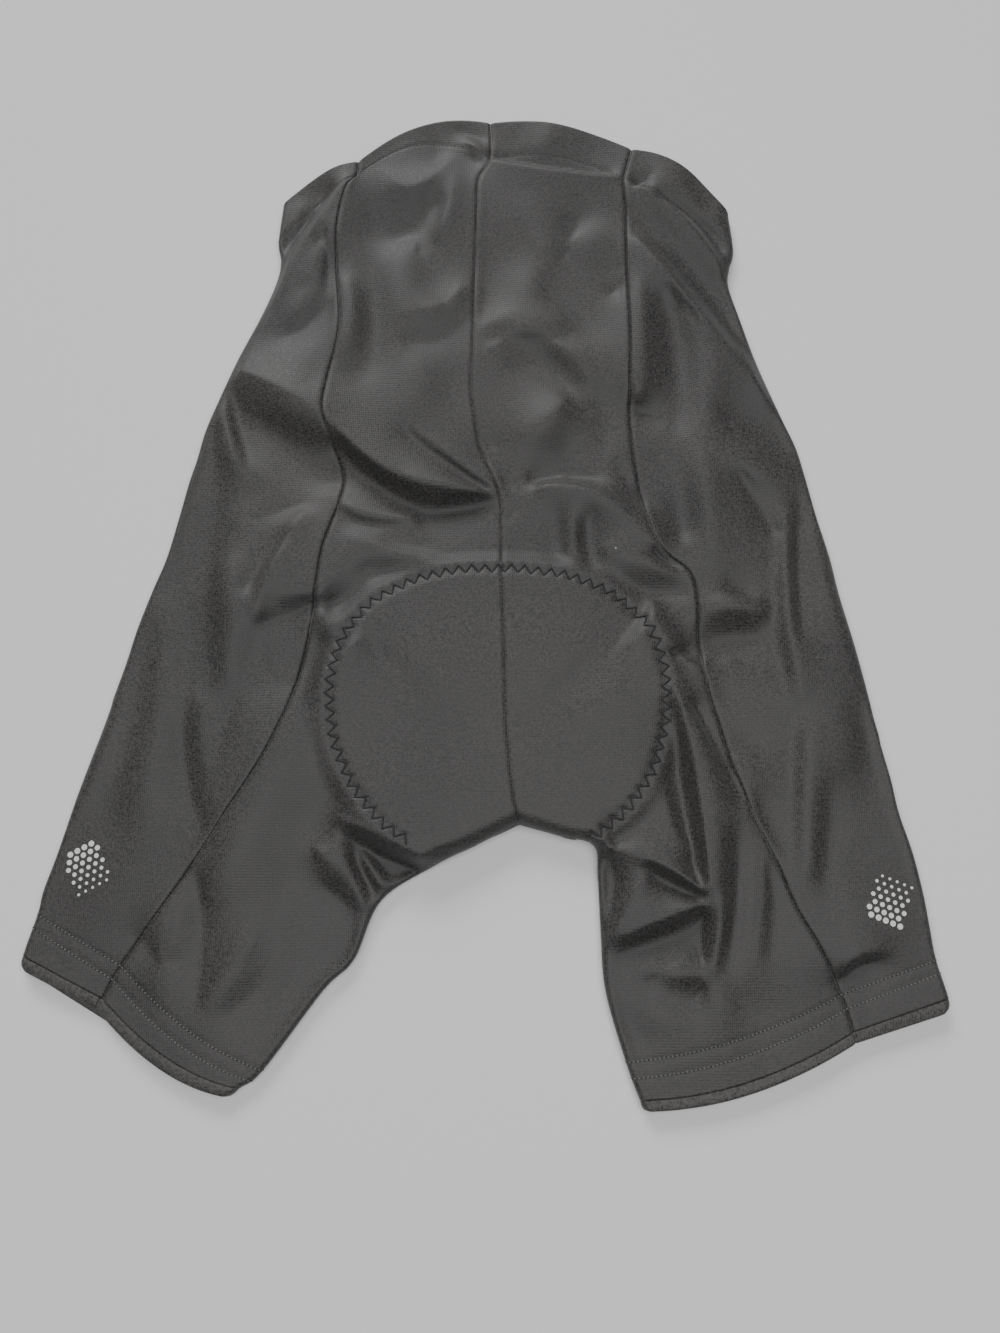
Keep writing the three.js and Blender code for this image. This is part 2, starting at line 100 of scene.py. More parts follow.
# %% Centre seam and inner legs
def table(columns, rows):
    """Named columns of a table of numbers."""
    return dict(zip(columns.split(), np.array(rows, float).T))


CENTRE = table("x y crown", [
    (4, 289, 13), (4, 265, 12), (-3, 250, 12), (-4, 227, 12), (-5, 195, 12), (-6, 150, 12),
    (-7, 114, 12), (-5, 95, 12), (-2, 78, 12), (3, 65, 12), (10, 47, 12), (11, 15, 12),
    (11, -5, 12), (12, -45, 11), (13, -85, 11), (16, -120, 11), (19, -137, 11), (20, -142, 11),
])
INNER_LEG = {
    "left": table("x y crown", [
        (20, -142, 11), (-3, -154, 11), (-24, -164, 11), (-54, -183, 11), (-68, -214, 11),
        (-84, -230, 10), (-114, -270, 8), (-126, -279, 7), (-132, -283, 7),
    ]),
    "right": table("x y crown", [
        (20, -142, 11), (43, -149, 11), (61, -154, 11), (63, -172, 11), (64, -200, 11),
        (66, -230, 10), (76, -266, 8), (83, -285, 7), (86, -290, 7),
    ]),
}

# %% Back seams and outer folds
OUTER_COLUMNS = "seam_x seam_y fold_x fold_y back_bow side_bow"
OUTER = {
    "left": table(OUTER_COLUMNS, [
        (-77, 260, -124, 236, 13, 5), (-78, 251, -126, 212, 17, 4), (-84, 243, -124, 199, 8, 2),
        (-89, 218, -126, 185, 2, 0), (-89, 190, -134, 163, 0, 0), (-86, 152, -147, 134, 0, 0),
        (-92, 115, -157, 108, 0, 0), (-93, 95, -164, 88, 0, 0), (-88, 79, -168, 70, 0, 0),
        (-82, 63, -172, 55, 0, 0), (-82, 46, -176, 36, 0, 0), (-91, 15, -182, 10, 0, 0),
        (-94, -8, -189, -10, 0, 0), (-98, -38, -196, -32, 0, 0), (-103, -62, -201, -52, 0, 0),
        (-108, -79, -205, -66, 0, 0), (-111, -86, -207, -73, 0, 0), (-113, -91, -208, -78, 0, 0),
        (-119, -104, -212, -92, 0, 0), (-127, -118, -217, -108, 0, 0), (-140, -138, -223, -128, 0, 0),
        (-156, -164, -231, -158, 0, 0), (-170, -185, -237, -178, -2, 0), (-192, -217, -239, -190, -7, 0),
        (-201, -234, -245, -212, -8, 0), (-203, -239, -244, -219, -8, 0),
    ]),
    "right": table(OUTER_COLUMNS, [
        (91, 270, 151, 230, 8, 9), (86, 251, 153, 206, 10, 5), (86, 239, 150, 194, 6, 2),
        (87, 225, 149, 182, 2, 0), (86, 197, 155, 160, 0, 0), (87, 150, 164, 130, 0, 0),
        (86, 115, 176, 98, 0, 0), (86, 96, 184, 78, 0, 0), (87, 76, 188, 62, 0, 0),
        (89, 59, 191, 48, 0, 0), (92, 42, 194, 34, 0, 0), (101, 16, 200, 10, 0, 0),
        (119, -3, 204, -12, 0, 0), (122, -38, 211, -42, 0, 0), (126, -68, 216, -67, 0, 0),
        (132, -90, 219, -84, 0, 0), (135, -101, 221, -93, 0, 0), (137, -110, 222, -100, 0, 0),
        (143, -125, 226, -118, 0, 0), (150, -142, 229, -136, 0, 0), (160, -164, 235, -158, 0, 0),
        (169, -187, 239, -180, 0, 0), (180, -207, 241, -197, -2, 0), (191, -232, 243, -214, -6, 0),
        (196, -251, 248, -234, -8, 0), (197, -256, 246, -241, -8, 0),
    ]),
}
print("sections in each half:", len(OUTER["left"]["fold_x"]))

# %% [markdown]
# ## Creases
# Cloth that has been dropped on a table is a set of crests and hollows with nearly flat slopes between
# them. So the relief is given by lines: a height at the start, the middle and the end of each, above zero
# for a crest and below it for a hollow. Softness says how round the cloth turns there, in millimetres: 1 is
# a sharp lap edge, 7 a broad swell. A crest with a hollow close beside it makes a dark slope. The lines
# were placed on the photograph, so the last six columns are pixels of its frame, 1000 by 1333. The
# photograph's camera turns each pixel into a place on the cloth, and it places the camera of this scene as
# well.

# %% From a pixel of the photograph to the cloth
PHOTO_WIDTH, PHOTO_HEIGHT = 1000, 1333
FOCAL_PIXELS = 1109
TILT = math.radians(12)
AIM = (10.0, -53.0, 0.0)
AIM_DISTANCE = 630.0
CREASE_LEVEL = 11.0


def place_of_pixel(pixel_x, pixel_y, level):
    """Place on the cloth, in whole millimetres, that the photograph shows at a pixel."""
    lean, upright = math.sin(TILT), math.cos(TILT)
    slope = (PHOTO_HEIGHT / 2 - pixel_y) / FOCAL_PIXELS
    y = (slope * (AIM_DISTANCE - level * upright) - level * lean) / (upright - slope * lean)
    depth = AIM_DISTANCE + y * lean - level * upright
    x = (pixel_x - PHOTO_WIDTH / 2) * depth / FOCAL_PIXELS
    return np.round(x + AIM[0]), np.round(y + AIM[1])


# %% Crest and hollow lines
CREASES = table("start middle end soft x0 y0 x1 y1 x2 y2", [
    # waist, left
    (3, 3.5, 2, 1.5, 350, 180, 302, 246, 256, 326),
    (2.5, 3, 2, 5, 336, 214, 322, 262, 292, 336),
    (-1, -2.5, -1, 2, 334, 188, 296, 228, 270, 262),
    (1, 3, 1, 2, 386, 168, 414, 193, 452, 157),
    (-1, -2.5, -1, 4, 370, 210, 398, 238, 444, 198),
    (1, 2.5, 1, 2, 458, 172, 449, 205, 440, 240),
    (-1, -1, -1, 3, 430, 200, 425, 230, 418, 255),
    (1, 2.5, 1, 3, 346, 276, 352, 322, 341, 360),
    (-1, -2.2, -1, 5, 366, 262, 376, 325, 360, 380),
    (1, 2, 1, 4, 396, 314, 436, 308, 462, 286),
    (-1, -1.5, -1, 3, 398, 338, 440, 338, 474, 308),
    (1, 1.5, 1, 4, 268, 316, 290, 298, 312, 286),
    (-1, -1.5, -1, 4, 284, 338, 308, 320, 330, 302),
    (-0.5, -1, -0.5, 3, 326, 232, 327, 262, 330, 296),
    (0.8, 1.8, 1, 2, 466, 142, 474, 150, 484, 156),
    (-0.3, -0.8, -0.8, 3, 460, 150, 470, 158, 480, 164),
    (-1, -1.5, -1, 1.5, 454, 128, 470, 134, 487, 141),
    (1, 1.5, 1, 5, 410, 360, 420, 390, 400, 420),
    (-0.5, -1, -0.5, 5, 448, 370, 456, 395, 462, 412),
    # waist, right
    (1.5, 2.5, 2, 1, 488, 163, 550, 174, 618, 181),
    (-1, -1.5, -1, 1, 488, 156, 550, 167, 614, 175),
    (2, 3, 2, 1, 626, 184, 682, 220, 728, 278),
    (-0.5, -1.8, -1, 2, 654, 199, 698, 219, 724, 253),
    (0.6, 0.6, 0.6, 2, 656, 192, 700, 211, 730, 244),
    (1, 1.5, 1, 3, 640, 176, 690, 192, 732, 226),
    (-1, -2, -1, 1.5, 632, 187, 642, 182, 652, 174),
    (2, 4, 2, 1.5, 634, 240, 692, 308, 776, 406),
    (-1, -2.5, -1, 5, 634, 212, 690, 270, 748, 346),
    (1.5, 3, 2, 2, 637, 278, 641, 340, 638, 402),
    (-1.5, -4, -3, 5, 664, 290, 680, 350, 682, 430),
    (-2, -3.5, -2, 2, 634, 402, 648, 412, 672, 420),
    (1.5, 2.5, 1.5, 6, 686, 306, 706, 372, 700, 436),
    (-1, -1.5, -1, 1.5, 606, 294, 614, 290, 622, 282),
    (1, 1.5, 1, 4, 482, 326, 520, 318, 570, 324),
    (-0.5, -1.5, -0.5, 4, 484, 346, 518, 338, 576, 344),
    (1, 2.2, 1, 3, 486, 350, 546, 338, 600, 392),
    (-1, -3.5, -2, 4, 506, 366, 546, 362, 578, 400),
    (1, 3.5, 1, 4, 522, 440, 552, 420, 564, 396),
    (-1, -3, -1, 4, 596, 384, 606, 424, 592, 462),
    (-3, -5, -2, 2, 528, 480, 556, 474, 600, 478),
    (1, 3, 1, 2, 534, 488, 600, 500, 668, 562),
    (-1, -2, -1, 4, 488, 250, 488, 290, 484, 330),
    (-1, -1.5, -1, 4, 582, 212, 572, 238, 560, 262),
    (-0.5, -1, -0.5, 4, 596, 262, 608, 268, 622, 266),
    (1, 1.5, 1, 6, 520, 200, 540, 250, 530, 300),
    # upper left seat
    (3, 7, 6, 1, 238, 370, 290, 396, 328, 424),
    (-2.5, -5.5, -7, 3, 253, 417, 294, 453, 337, 478),
    (5, 5, 5, 1, 326, 417, 362, 456, 404, 480),
    (5, 5, 2, 1, 404, 480, 440, 488, 496, 495),
    (-3, -4.5, -5.5, 3, 333, 440, 376, 481, 423, 513),
    (-5, -4, -1, 2.5, 422, 512, 456, 507, 496, 500),
    (0.3, 0.9, 1.2, 1, 406, 424, 449, 455, 499, 489),
    (-0.5, -1.1, -1.2, 1, 403, 429, 444, 461, 496, 496),
    (0.5, 1, 0.5, 2, 343, 503, 370, 516, 418, 516),
    (-1, -1.8, -0.8, 1.5, 339, 509, 366, 522, 416, 521),
    (-1, -1.5, -1, 3, 384, 540, 410, 548, 440, 552),
    (1, 1.5, 1, 3, 352, 536, 392, 552, 436, 558),
    (-1, -2.5, -1, 3, 362, 562, 386, 574, 432, 566),
    (-1, -3, -1, 3, 306, 598, 330, 604, 376, 582),
    (1, 1, 1, 4, 306, 564, 334, 572, 372, 552),
    (1, 3, 2, 2, 306, 512, 272, 566, 256, 620),
    (-1, -2, -1, 1.5, 340, 490, 290, 506, 240, 524),
    (-1, -1.5, -1, 3, 292, 530, 262, 566, 246, 590),
    (-1, -3, -1, 2, 231, 388, 240, 430, 252, 468),
    (1, 2, 1, 3, 222, 392, 226, 430, 238, 470),
    (-1, -2, -1, 3, 240, 508, 254, 492, 270, 478),
    (-1, -3, -2, 4, 212, 420, 208, 520, 206, 690),
    (1, 2, 1, 5, 232, 560, 230, 620, 236, 690),
    (0.5, 1.5, 1, 2, 264, 604, 290, 595, 314, 598),
    (-0.5, -2, -1.5, 1.5, 256, 624, 284, 615, 313, 606),
    (-1, -1.5, -1, 1, 258, 636, 260, 660, 274, 684),
    (-1, -2.5, -1, 2, 290, 688, 318, 656, 354, 626),
    (1, 2, 1, 2, 300, 706, 330, 672, 362, 640),
    (1, 2, 1, 3, 336, 640, 322, 600, 340, 570),
    # pad
    (-0.5, -1.5, -0.5, 5, 606, 650, 572, 686, 530, 720),
    (0.5, 1, 0.5, 5, 590, 640, 556, 672, 520, 700),
    (0.5, 1.5, 0.5, 5, 566, 720, 604, 700, 640, 680),
    (-0.5, -1, -0.5, 6, 384, 650, 410, 690, 440, 720),
    (0.5, 1, 0.5, 6, 400, 640, 436, 680, 470, 700),
    (-0.5, -1, -0.5, 6, 350, 740, 400, 742, 450, 730),
    (-1, -2, -1, 2.5, 372, 640, 384, 656, 400, 672),
    (1, 1.5, 1, 6, 400, 790, 450, 800, 490, 800),
    # left side and leg
    (-1, -2.5, -1.5, 2, 178, 548, 186, 610, 185, 700),
    (-1.5, -2.5, -1, 2, 185, 700, 183, 760, 202, 836),
    (0.5, 1, 1, 4, 204, 700, 204, 760, 222, 820),
    (1, 1.5, 1, 6, 160, 600, 150, 700, 140, 800),
    (2, 4, 2, 7, 306, 706, 258, 800, 214, 900),
    (-1, -3, -1, 7, 330, 790, 296, 880, 250, 976),
    (-1, -2, -1, 2, 194, 870, 198, 930, 196, 1010),
    (2, 5, 4, 1, 338, 818, 384, 838, 434, 865),
    (-2, -4, -3, 2, 346, 832, 384, 862, 424, 874),
    (1, 2, 1, 3, 304, 846, 328, 858, 350, 886),
    (-1, -3.5, -1, 2, 312, 874, 334, 900, 350, 914),
    (-1, -3, -1, 1.5, 348, 840, 364, 878, 380, 902),
    (1, 2, 1, 2, 338, 842, 354, 880, 364, 912),
    (1, 2, 1, 2, 362, 850, 376, 880, 388, 892),
    (-1, -2.5, -1, 2, 322, 944, 338, 950, 356, 928),
    (-1, -2, -1, 4, 286, 954, 252, 994, 224, 1020),
    (1, 1.5, 1, 5, 258, 934, 230, 976, 206, 1004),
    (0.5, 1.5, 1, 6, 180, 900, 166, 930, 160, 990),
    (-1, -2, -1, 3, 148, 954, 160, 962, 174, 958),
    (-1, -1.5, -1, 2, 128, 934, 140, 940, 150, 948),
    (-1, -1.5, -1, 6, 96, 790, 114, 822, 122, 862),
    (-1, -1.5, -1, 4, 92, 984, 118, 998, 150, 1008),
    (1, 1.5, 1, 7, 120, 700, 100, 760, 84, 800),
    # upper right seat
    (-1, -2, -1, 1.5, 480, 438, 492, 442, 502, 450),
    (-1, -1.5, -1, 1.5, 478, 452, 505, 466, 530, 478),
    (-1, -2.5, -1, 3, 500, 484, 508, 482, 518, 478),
    (-1, -2, -1, 1.5, 502, 526, 510, 513, 518, 502),
    (-1, -1.5, -1, 2, 521, 550, 524, 542, 530, 534),
    (-1, -2.5, -1, 3, 558, 508, 556, 536, 562, 562),
    (-1, -3, -1, 3, 590, 512, 588, 540, 596, 566),
    (1, 1.5, 1, 3, 574, 510, 574, 536, 578, 562),
    (1, 2, 1, 3, 602, 548, 640, 562, 690, 570),
    (-1, -3.5, -2, 2, 606, 582, 646, 592, 690, 590),
    (-1, -2.5, -1, 1.5, 648, 596, 636, 618, 600, 660),
    (1, 2, 1, 2, 654, 600, 646, 630, 626, 652),
    (1, 2, 1, 1.5, 652, 604, 672, 644, 704, 672),
    (-1, -4, -3, 2, 668, 654, 690, 652, 706, 648),
    (-1, -3, -2, 1, 652, 546, 668, 562, 686, 570),
    (-1, -2.5, -1, 1, 610, 452, 630, 480, 646, 506),
    (-1, -4, -2, 3, 570, 440, 566, 460, 560, 476),
    # right side
    (-1, -3, -4, 3, 676, 440, 680, 490, 684, 536),
    (1, 2, 1, 4, 700, 450, 706, 500, 712, 560),
    (-1, -2.5, -1, 3, 660, 430, 658, 470, 664, 510),
    (-1, -2.5, -2, 1.5, 738, 466, 760, 504, 780, 532),
    (-1.5, -2.5, -1.5, 3, 778, 534, 774, 602, 790, 690),
    (1, 2.5, 1.5, 3, 791, 500, 789, 600, 801, 700),
    (-1, -2.5, -1, 3, 804, 490, 798, 556, 802, 640),
    (1, 3, 1, 3, 704, 612, 736, 606, 768, 612),
    (-3, -6, -3, 1.5, 702, 642, 732, 640, 766, 632),
    (-1, -3, -1, 3, 726, 580, 746, 592, 768, 586),
    (-1, -2, -1, 1.5, 708, 668, 720, 665, 734, 660),
    (-1, -1.5, -1, 1.5, 718, 694, 728, 692, 740, 688),
    (-1, -2, -1, 7, 716, 404, 752, 424, 794, 436),
    (1, 2, 1, 5, 740, 450, 752, 470, 790, 480),
    (-1, -2.2, -1, 3, 797, 704, 794, 780, 797, 880),
    (1, 1.5, 1, 4, 808, 720, 806, 790, 810, 880),
    (-1, -3, -1, 3, 832, 780, 832, 842, 822, 906),
    (-1, -2, -1, 3, 732, 736, 752, 740, 774, 742),
    (-1, -2.5, -1, 4, 756, 790, 774, 826, 782, 860),
    (-1, -2, -1, 4, 880, 830, 862, 862, 846, 888),
    (-2, -4, -1, 1.5, 842, 990, 856, 970, 886, 961),
    (1, 2, 1, 2, 846, 975, 862, 956, 890, 950),
    (1, 1.5, 1, 7, 850, 640, 846, 700, 858, 760),
    # right leg
    (3, 6, 6, 1, 675, 690, 694, 770, 707, 890),
    (2, 5, 4.5, 2.5, 683, 690, 706, 770, 719, 890),
    (4.5, 3.5, 2, 2.5, 719, 890, 720, 930, 710, 974),
    (-2, -4, -3, 3, 667, 700, 686, 792, 700, 886),
    (-0.5, -2.5, -1, 4, 736, 826, 738, 900, 726, 972),
    (0.5, 1.5, 1, 6, 760, 850, 758, 900, 748, 970),
    (2, 5, 5, 1, 597, 845, 650, 861, 703, 892),
    (-1, -2.8, -2.5, 2.5, 645, 867, 676, 883, 702, 898),
    (1, 4, 2, 1.5, 650, 870, 630, 903, 608, 944),
    (-1, -3, -1, 4, 604, 862, 610, 886, 602, 930),
    (4, 4, 3, 1, 704, 902, 662, 918, 616, 938),
    (-2, -3, -1.5, 3, 704, 912, 668, 936, 620, 950),
    (-1, -2, -1, 1, 704, 912, 701, 940, 705, 966),
    (0.5, 1.8, 1, 3, 642, 972, 672, 972, 704, 978),
    (-0.5, -1.5, -1.8, 4, 656, 992, 682, 996, 706, 986),
    (-0.5, -1.5, -0.5, 4, 620, 1000, 634, 1034, 656, 1044),
    (-2, -1.5, -0.5, 1, 706, 986, 698, 1000, 689, 1015),
    (0.5, 0.8, 0.5, 5, 648, 1008, 662, 1020, 680, 1020),
    (-1, -2.5, -1, 3, 766, 860, 774, 905, 769, 962),
    (0.5, 1.5, 0.5, 2, 665, 784, 674, 826, 697, 856),
    (-1, -2, -1, 3, 612, 806, 612, 824, 616, 846),
    (-1, -1.5, -1, 1, 690, 700, 722, 755, 762, 832),
    (-1, -1.5, -1, 5, 738, 1000, 754, 1012, 790, 1020),
    (-0.5, -1, -0.5, 2, 645, 988, 660, 974, 678, 960),
    # broad shapes
    (1, 2.5, 1, 7, 300, 350, 296, 370, 306, 385),
    (1, 2, 1, 7, 410, 240, 400, 290, 396, 350),
    (-1, -1.5, -1, 7, 430, 250, 440, 280, 444, 310),
    (-1, -1.5, -1, 7, 520, 230, 560, 300, 600, 330),
    (1, 1.5, 1, 7, 540, 250, 590, 240, 610, 230),
    (1, 2, 1, 7, 820, 520, 830, 600, 846, 700),
    (-1, -2, -1, 6, 860, 700, 872, 760, 884, 820),
    (1, 1.5, 1, 7, 120, 640, 96, 720, 70, 800),
    (-1, -1.5, -1, 7, 150, 620, 140, 700, 110, 780),
    (1, 1.5, 1, 6, 250, 700, 220, 760, 206, 800),
    (-0.5, -1.5, -0.5, 5, 246, 640, 236, 700, 210, 790),
    (1, 1.5, 1, 6, 740, 760, 748, 800, 764, 850),
    (0.5, 1.5, 0.5, 5, 700, 960, 720, 1000, 730, 1030),
    # casing
    (0.5, 1, 0.5, 4, 412, 138, 405, 158, 400, 172),
    (-0.5, -1, -0.5, 4, 432, 134, 440, 150, 434, 166),
    (0.5, 1, 0.5, 4, 302, 200, 297, 214, 292, 232),
    (-0.5, -1, -0.5, 4, 320, 196, 314, 210, 308, 224),
    (-0.5, -1, -0.5, 4, 522, 127, 512, 142, 504, 153),
    (0.5, 1, 0.5, 4, 546, 128, 548, 140, 538, 152),
    (-0.5, -1, -0.5, 4, 584, 134, 594, 150, 602, 168),
    (0.5, 1, 0.5, 4, 662, 160, 656, 172, 650, 184),
    (-0.5, -1, -0.5, 4, 690, 184, 700, 196, 714, 208),
])
for end in "012":
    pixel_x, pixel_y = CREASES["x" + end], CREASES["y" + end]
    CREASES["x" + end], CREASES["y" + end] = place_of_pixel(pixel_x, pixel_y, CREASE_LEVEL)
print("crease lines:", len(CREASES["soft"]))

# %% [markdown]
# ## From tables to smooth curves
# A Catmull-Rom spline passes through every row of a table, so a section between two rows is a fair blend of
# its neighbours. The same few lines serve seams, folds and crown heights.

# %% Smooth curves through the tables
def smooth(t):
    c = np.clip(t, 0, 1)
    return c * c * (3 - 2 * c)


def mix(a, b, f):
    return a + (b - a) * f


def along(rows, column, s):
    """Smooth curve through one column; s counts rows."""
    values = rows[column]
    last = len(values) - 1
    i = np.clip(np.floor(s).astype(int), 0, last - 1)
    f = s - i
    a, b, c, d = (values[np.clip(i + k, 0, last)] for k in (-1, 0, 1, 2))
    return b + 0.5 * f * (c - a + f * (2 * a - 5 * b + 4 * c - d + f * (3 * (b - c) + d - a)))


def inner_edge(half, s):
    """Centre seam above the crotch, inner leg below it: x, y and crown."""
    above = s <= CROTCH
    upper = [along(CENTRE, name, np.minimum(s, CROTCH)) for name in ("x", "y", "crown")]
    lower = [along(INNER_LEG[half], name, np.maximum(s - CROTCH, 0)) for name in ("x", "y", "crown")]
    return [np.where(above, high, low) for high, low in zip(upper, lower)]


def outer_fold(half, s):
    return [along(OUTER[half], name, s) for name in ("fold_x", "fold_y")]


def front_inner(half, s):
    """The centre front seam is a shorter copy of the back one."""
    x, y, _ = inner_edge(half, s)
    crotch_x, crotch_y = CENTRE["x"][-1], CENTRE["y"][-1]
    above = s < CROTCH
    return np.where(above, mix(crotch_x, x, FRONT_RISE), x), np.where(above, mix(crotch_y, y, FRONT_RISE), y)


# %% Distance to the nearest fold edge
ROLL_REACH = 12.0
COARSE_STEP, FINE_STEP = 0.5, 0.05


def outline_segments(step):
    """Outer folds, crotch edge and inner legs, as short straight steps."""
    steps = []
    for half in HALVES:
        s = np.arange(WAIST_EDGE, LEG_EDGE + step / 2, step)
        steps.append(np.stack(outer_fold(half, s), 1))
        s = np.arange(CROTCH, LEG_EDGE + step / 2, step)
        steps.append(np.stack(inner_edge(half, s)[:2], 1))
    return np.concatenate([np.concatenate([line[:-1], line[1:]], 1) for line in steps])


def distance_to_steps(x, y, steps):
    nearest = np.full(x.shape, 1e9)
    for ax, ay, bx, by in steps:
        dx, dy = bx - ax, by - ay
        t = np.clip(((x - ax) * dx + (y - ay) * dy) / (dx * dx + dy * dy), 0, 1)
        nearest = np.minimum(nearest, (x - ax - t * dx) ** 2 + (y - ay - t * dy) ** 2)
    return np.sqrt(nearest)


COARSE_OUTLINE, FINE_OUTLINE = outline_segments(COARSE_STEP), outline_segments(FINE_STEP)


def edge_distance(x, y):
    """Coarse steps far from the edge, fine ones where the cloth rolls over."""
    distance = distance_to_steps(x, y, COARSE_OUTLINE)
    rolls = distance < ROLL_REACH
    distance[rolls] = distance_to_steps(x[rolls], y[rolls], FINE_OUTLINE)
    return distance


print("outline steps:", len(COARSE_OUTLINE), "and", len(FINE_OUTLINE))

# %% [markdown]
# ## Heights
# The upper layer is a height over the table: a low crown, the pad lifting it, and the creases added to
# both. The creases come from a film stretched over their lines, like a tent over its poles, and then
# rounded. Near a fold edge the whole thickness rolls off along a quarter ellipse. Every panel lies on this
# one common surface.

# %% Grid under the relief
FILM_CELL = 1.2
FILM_LOW, FILM_SIZE = np.array([-264.0, -306.0]), np.array([530.0, 612.0])
FILM_REACH = 18.0
CREASE_RISE, CREASE_LIMIT = 1.9, 9.0
FILM_LEVELS = (16, 8, 4, 2, 1)
FILM_ROUNDS = 80
LINE_HOLD, LINE_FADE = 3.0, 0.12
FEWEST_POINTS, POINTS_PER_MM = 8, 1.8
SOFT_STEPS = (0.9, 2.6, 6.0)
SOFT_AT_REST = 4.0


def sample(field, cell, x, y):
    """Smooth value of a gridded field at any points, from its sixteen nearest nodes."""
    u, v = (x - FILM_LOW[0]) / cell, (y - FILM_LOW[1]) / cell
    i, j = np.floor(u).astype(int), np.floor(v).astype(int)
    value = np.zeros(np.shape(x))
    for di in (-1, 0, 1, 2):
        for dj in (-1, 0, 1, 2):
            column, row = np.clip(i + di, 0, field.shape[1] - 1), np.clip(j + dj, 0, field.shape[0] - 1)
            value += field[row, column] * cubic(u - i - di) * cubic(v - j - dj)
    return value


def cubic(d):
    """Catmull-Rom weight of a node at distance d."""
    d = np.abs(d)
    return np.where(d < 1, 1 + d * d * (1.5 * d - 2.5), 2 + d * (d * (2.5 - 0.5 * d) - 4))


def bend(a, b, c, t):
    """Quadratic curve through three values."""
    return (1 - t) ** 2 * a + t * (1 - t) * (4 * b - a - c) + t * t * c


# %% Film stretched over the lines
def pins(column, cell):
    """Weighted values of all crease lines, shared out to the grid nodes round them."""
    shape = tuple(np.ceil(FILM_SIZE[::-1] / cell).astype(int) + 1)
    pull, hold = np.zeros(shape), np.zeros(shape)
    for k in range(len(CREASES["soft"])):
        row = {name: values[k] for name, values in CREASES.items()}
        length = math.dist((row["x0"], row["y0"]), (row["x2"], row["y2"]))
        t = np.linspace(0, 1, max(FEWEST_POINTS, round(length * POINTS_PER_MM)))
        x, y = bend(row["x0"], row["x1"], row["x2"], t), bend(row["y0"], row["y1"], row["y2"], t)
        if column == "height":
            value = bend(row["start"], row["middle"], row["end"], t)
        else:
            value = np.full(len(t), row["soft"])
        weight = LINE_HOLD * np.clip(np.minimum(t, 1 - t) / LINE_FADE, 0.02, 1)
        u, v = (x - FILM_LOW[0]) / cell, (y - FILM_LOW[1]) / cell
        i, j = np.floor(u).astype(int), np.floor(v).astype(int)
        for di, dj in ((0, 0), (1, 0), (0, 1), (1, 1)):
            share = weight * (1 - np.abs(u - i - di)) * (1 - np.abs(v - j - dj))
            np.add.at(pull, (j + dj, i + di), share * value)
            np.add.at(hold, (j + dj, i + di), share)
    return pull, hold


def stretch_film(column, rest):
    """Film pinned to the lines; it sinks back to its rest value away from them."""
    film = None
    for level in FILM_LEVELS:
        cell = FILM_CELL * level
        pull, hold = pins(column, cell)
        if film is None:
            film = np.full(pull.shape, float(rest))
        else:
            x, y = (FILM_LOW[k] + np.arange(pull.shape[1 - k]) * cell for k in (0, 1))
            film = sample(film, 2 * cell, *np.meshgrid(x, y))
        sink = (cell / FILM_REACH) ** 2
        for _ in range(FILM_ROUNDS):
            wide = np.pad(film, 1, mode="edge")
            around = wide[:-2, 1:-1] + wide[2:, 1:-1] + wide[1:-1, :-2] + wide[1:-1, 2:]
            film = (around + pull + sink * rest) / (4 + sink + hold)
    return film


def soften(film, width):
    """Film after a Gaussian blur of the given width in millimetres."""
    reach = math.ceil(3 * width / FILM_CELL)
    weights = np.exp(-0.5 * (np.arange(-reach, reach + 1) * FILM_CELL / width) ** 2)
    weights /= weights.sum()
    wide = np.pad(film, reach, mode="edge")
    wide = sum(w * wide[k:k + film.shape[0]] for k, w in enumerate(weights))
    return sum(w * wide[:, k:k + film.shape[1]] for k, w in enumerate(weights))


def crease_film():
    """Relief of all creases, each turned as softly as its lines say."""
    film, soft = stretch_film("height", 0.0), stretch_film("soft", SOFT_AT_REST)
    sharp, medium, broad = (soften(film, width) for width in SOFT_STEPS)
    first = np.clip((soft - SOFT_STEPS[0]) / (SOFT_STEPS[1] - SOFT_STEPS[0]), 0, 1)
    second = np.clip((soft - SOFT_STEPS[1]) / (SOFT_STEPS[2] - SOFT_STEPS[1]), 0, 1)
    relief = mix(mix(sharp, medium, first), broad, second)
    return CREASE_LIMIT * np.tanh(CREASE_RISE * relief / CREASE_LIMIT)


CREASE_FILM = crease_film()
print("crease relief, mm:", round(CREASE_FILM.min(), 1), "to", round(CREASE_FILM.max(), 1))

# %% Pad lift
def pad_ring(x, y):
    """1 on the pad's stitching, less inside it."""
    upper = y > PAD["y"]
    reach = np.where(upper, PAD["up"], PAD["down"])
    power = np.where(upper, PAD["blunt"], PAD["round"])
    across = np.abs(x - PAD["x"]) / PAD["half"]
    lengthwise = np.abs(y - PAD["y"]) / reach
    return (across ** power + lengthwise ** power) ** (1 / power)


def pad_share(x, y):
    """1 on the pad, fading to 0 outside its stitching."""
    return smooth(1 - (pad_ring(x, y) - 1) * PAD["half"] / PAD_SLOPE)


# %% [markdown]
# ## Small relief
# Sewing pulls the cloth in. The pad's zigzag sits in a soft channel, each needle hole a little deeper, and
# the hem and casing rows press two shallow grooves. Such marks are under a millimetre, but light finds
# them.

# %% Points along a line
def points_at(at, arc, line):
    """Places at given lengths along a line of points."""
    return np.stack([np.interp(at, arc, column) for column in line.T], 1)


def arc_lengths(line):
    """Length along a line of points, from its first point to each."""
    return np.concatenate([[0], np.cumsum(np.linalg.norm(np.diff(line, axis=0), axis=1))])


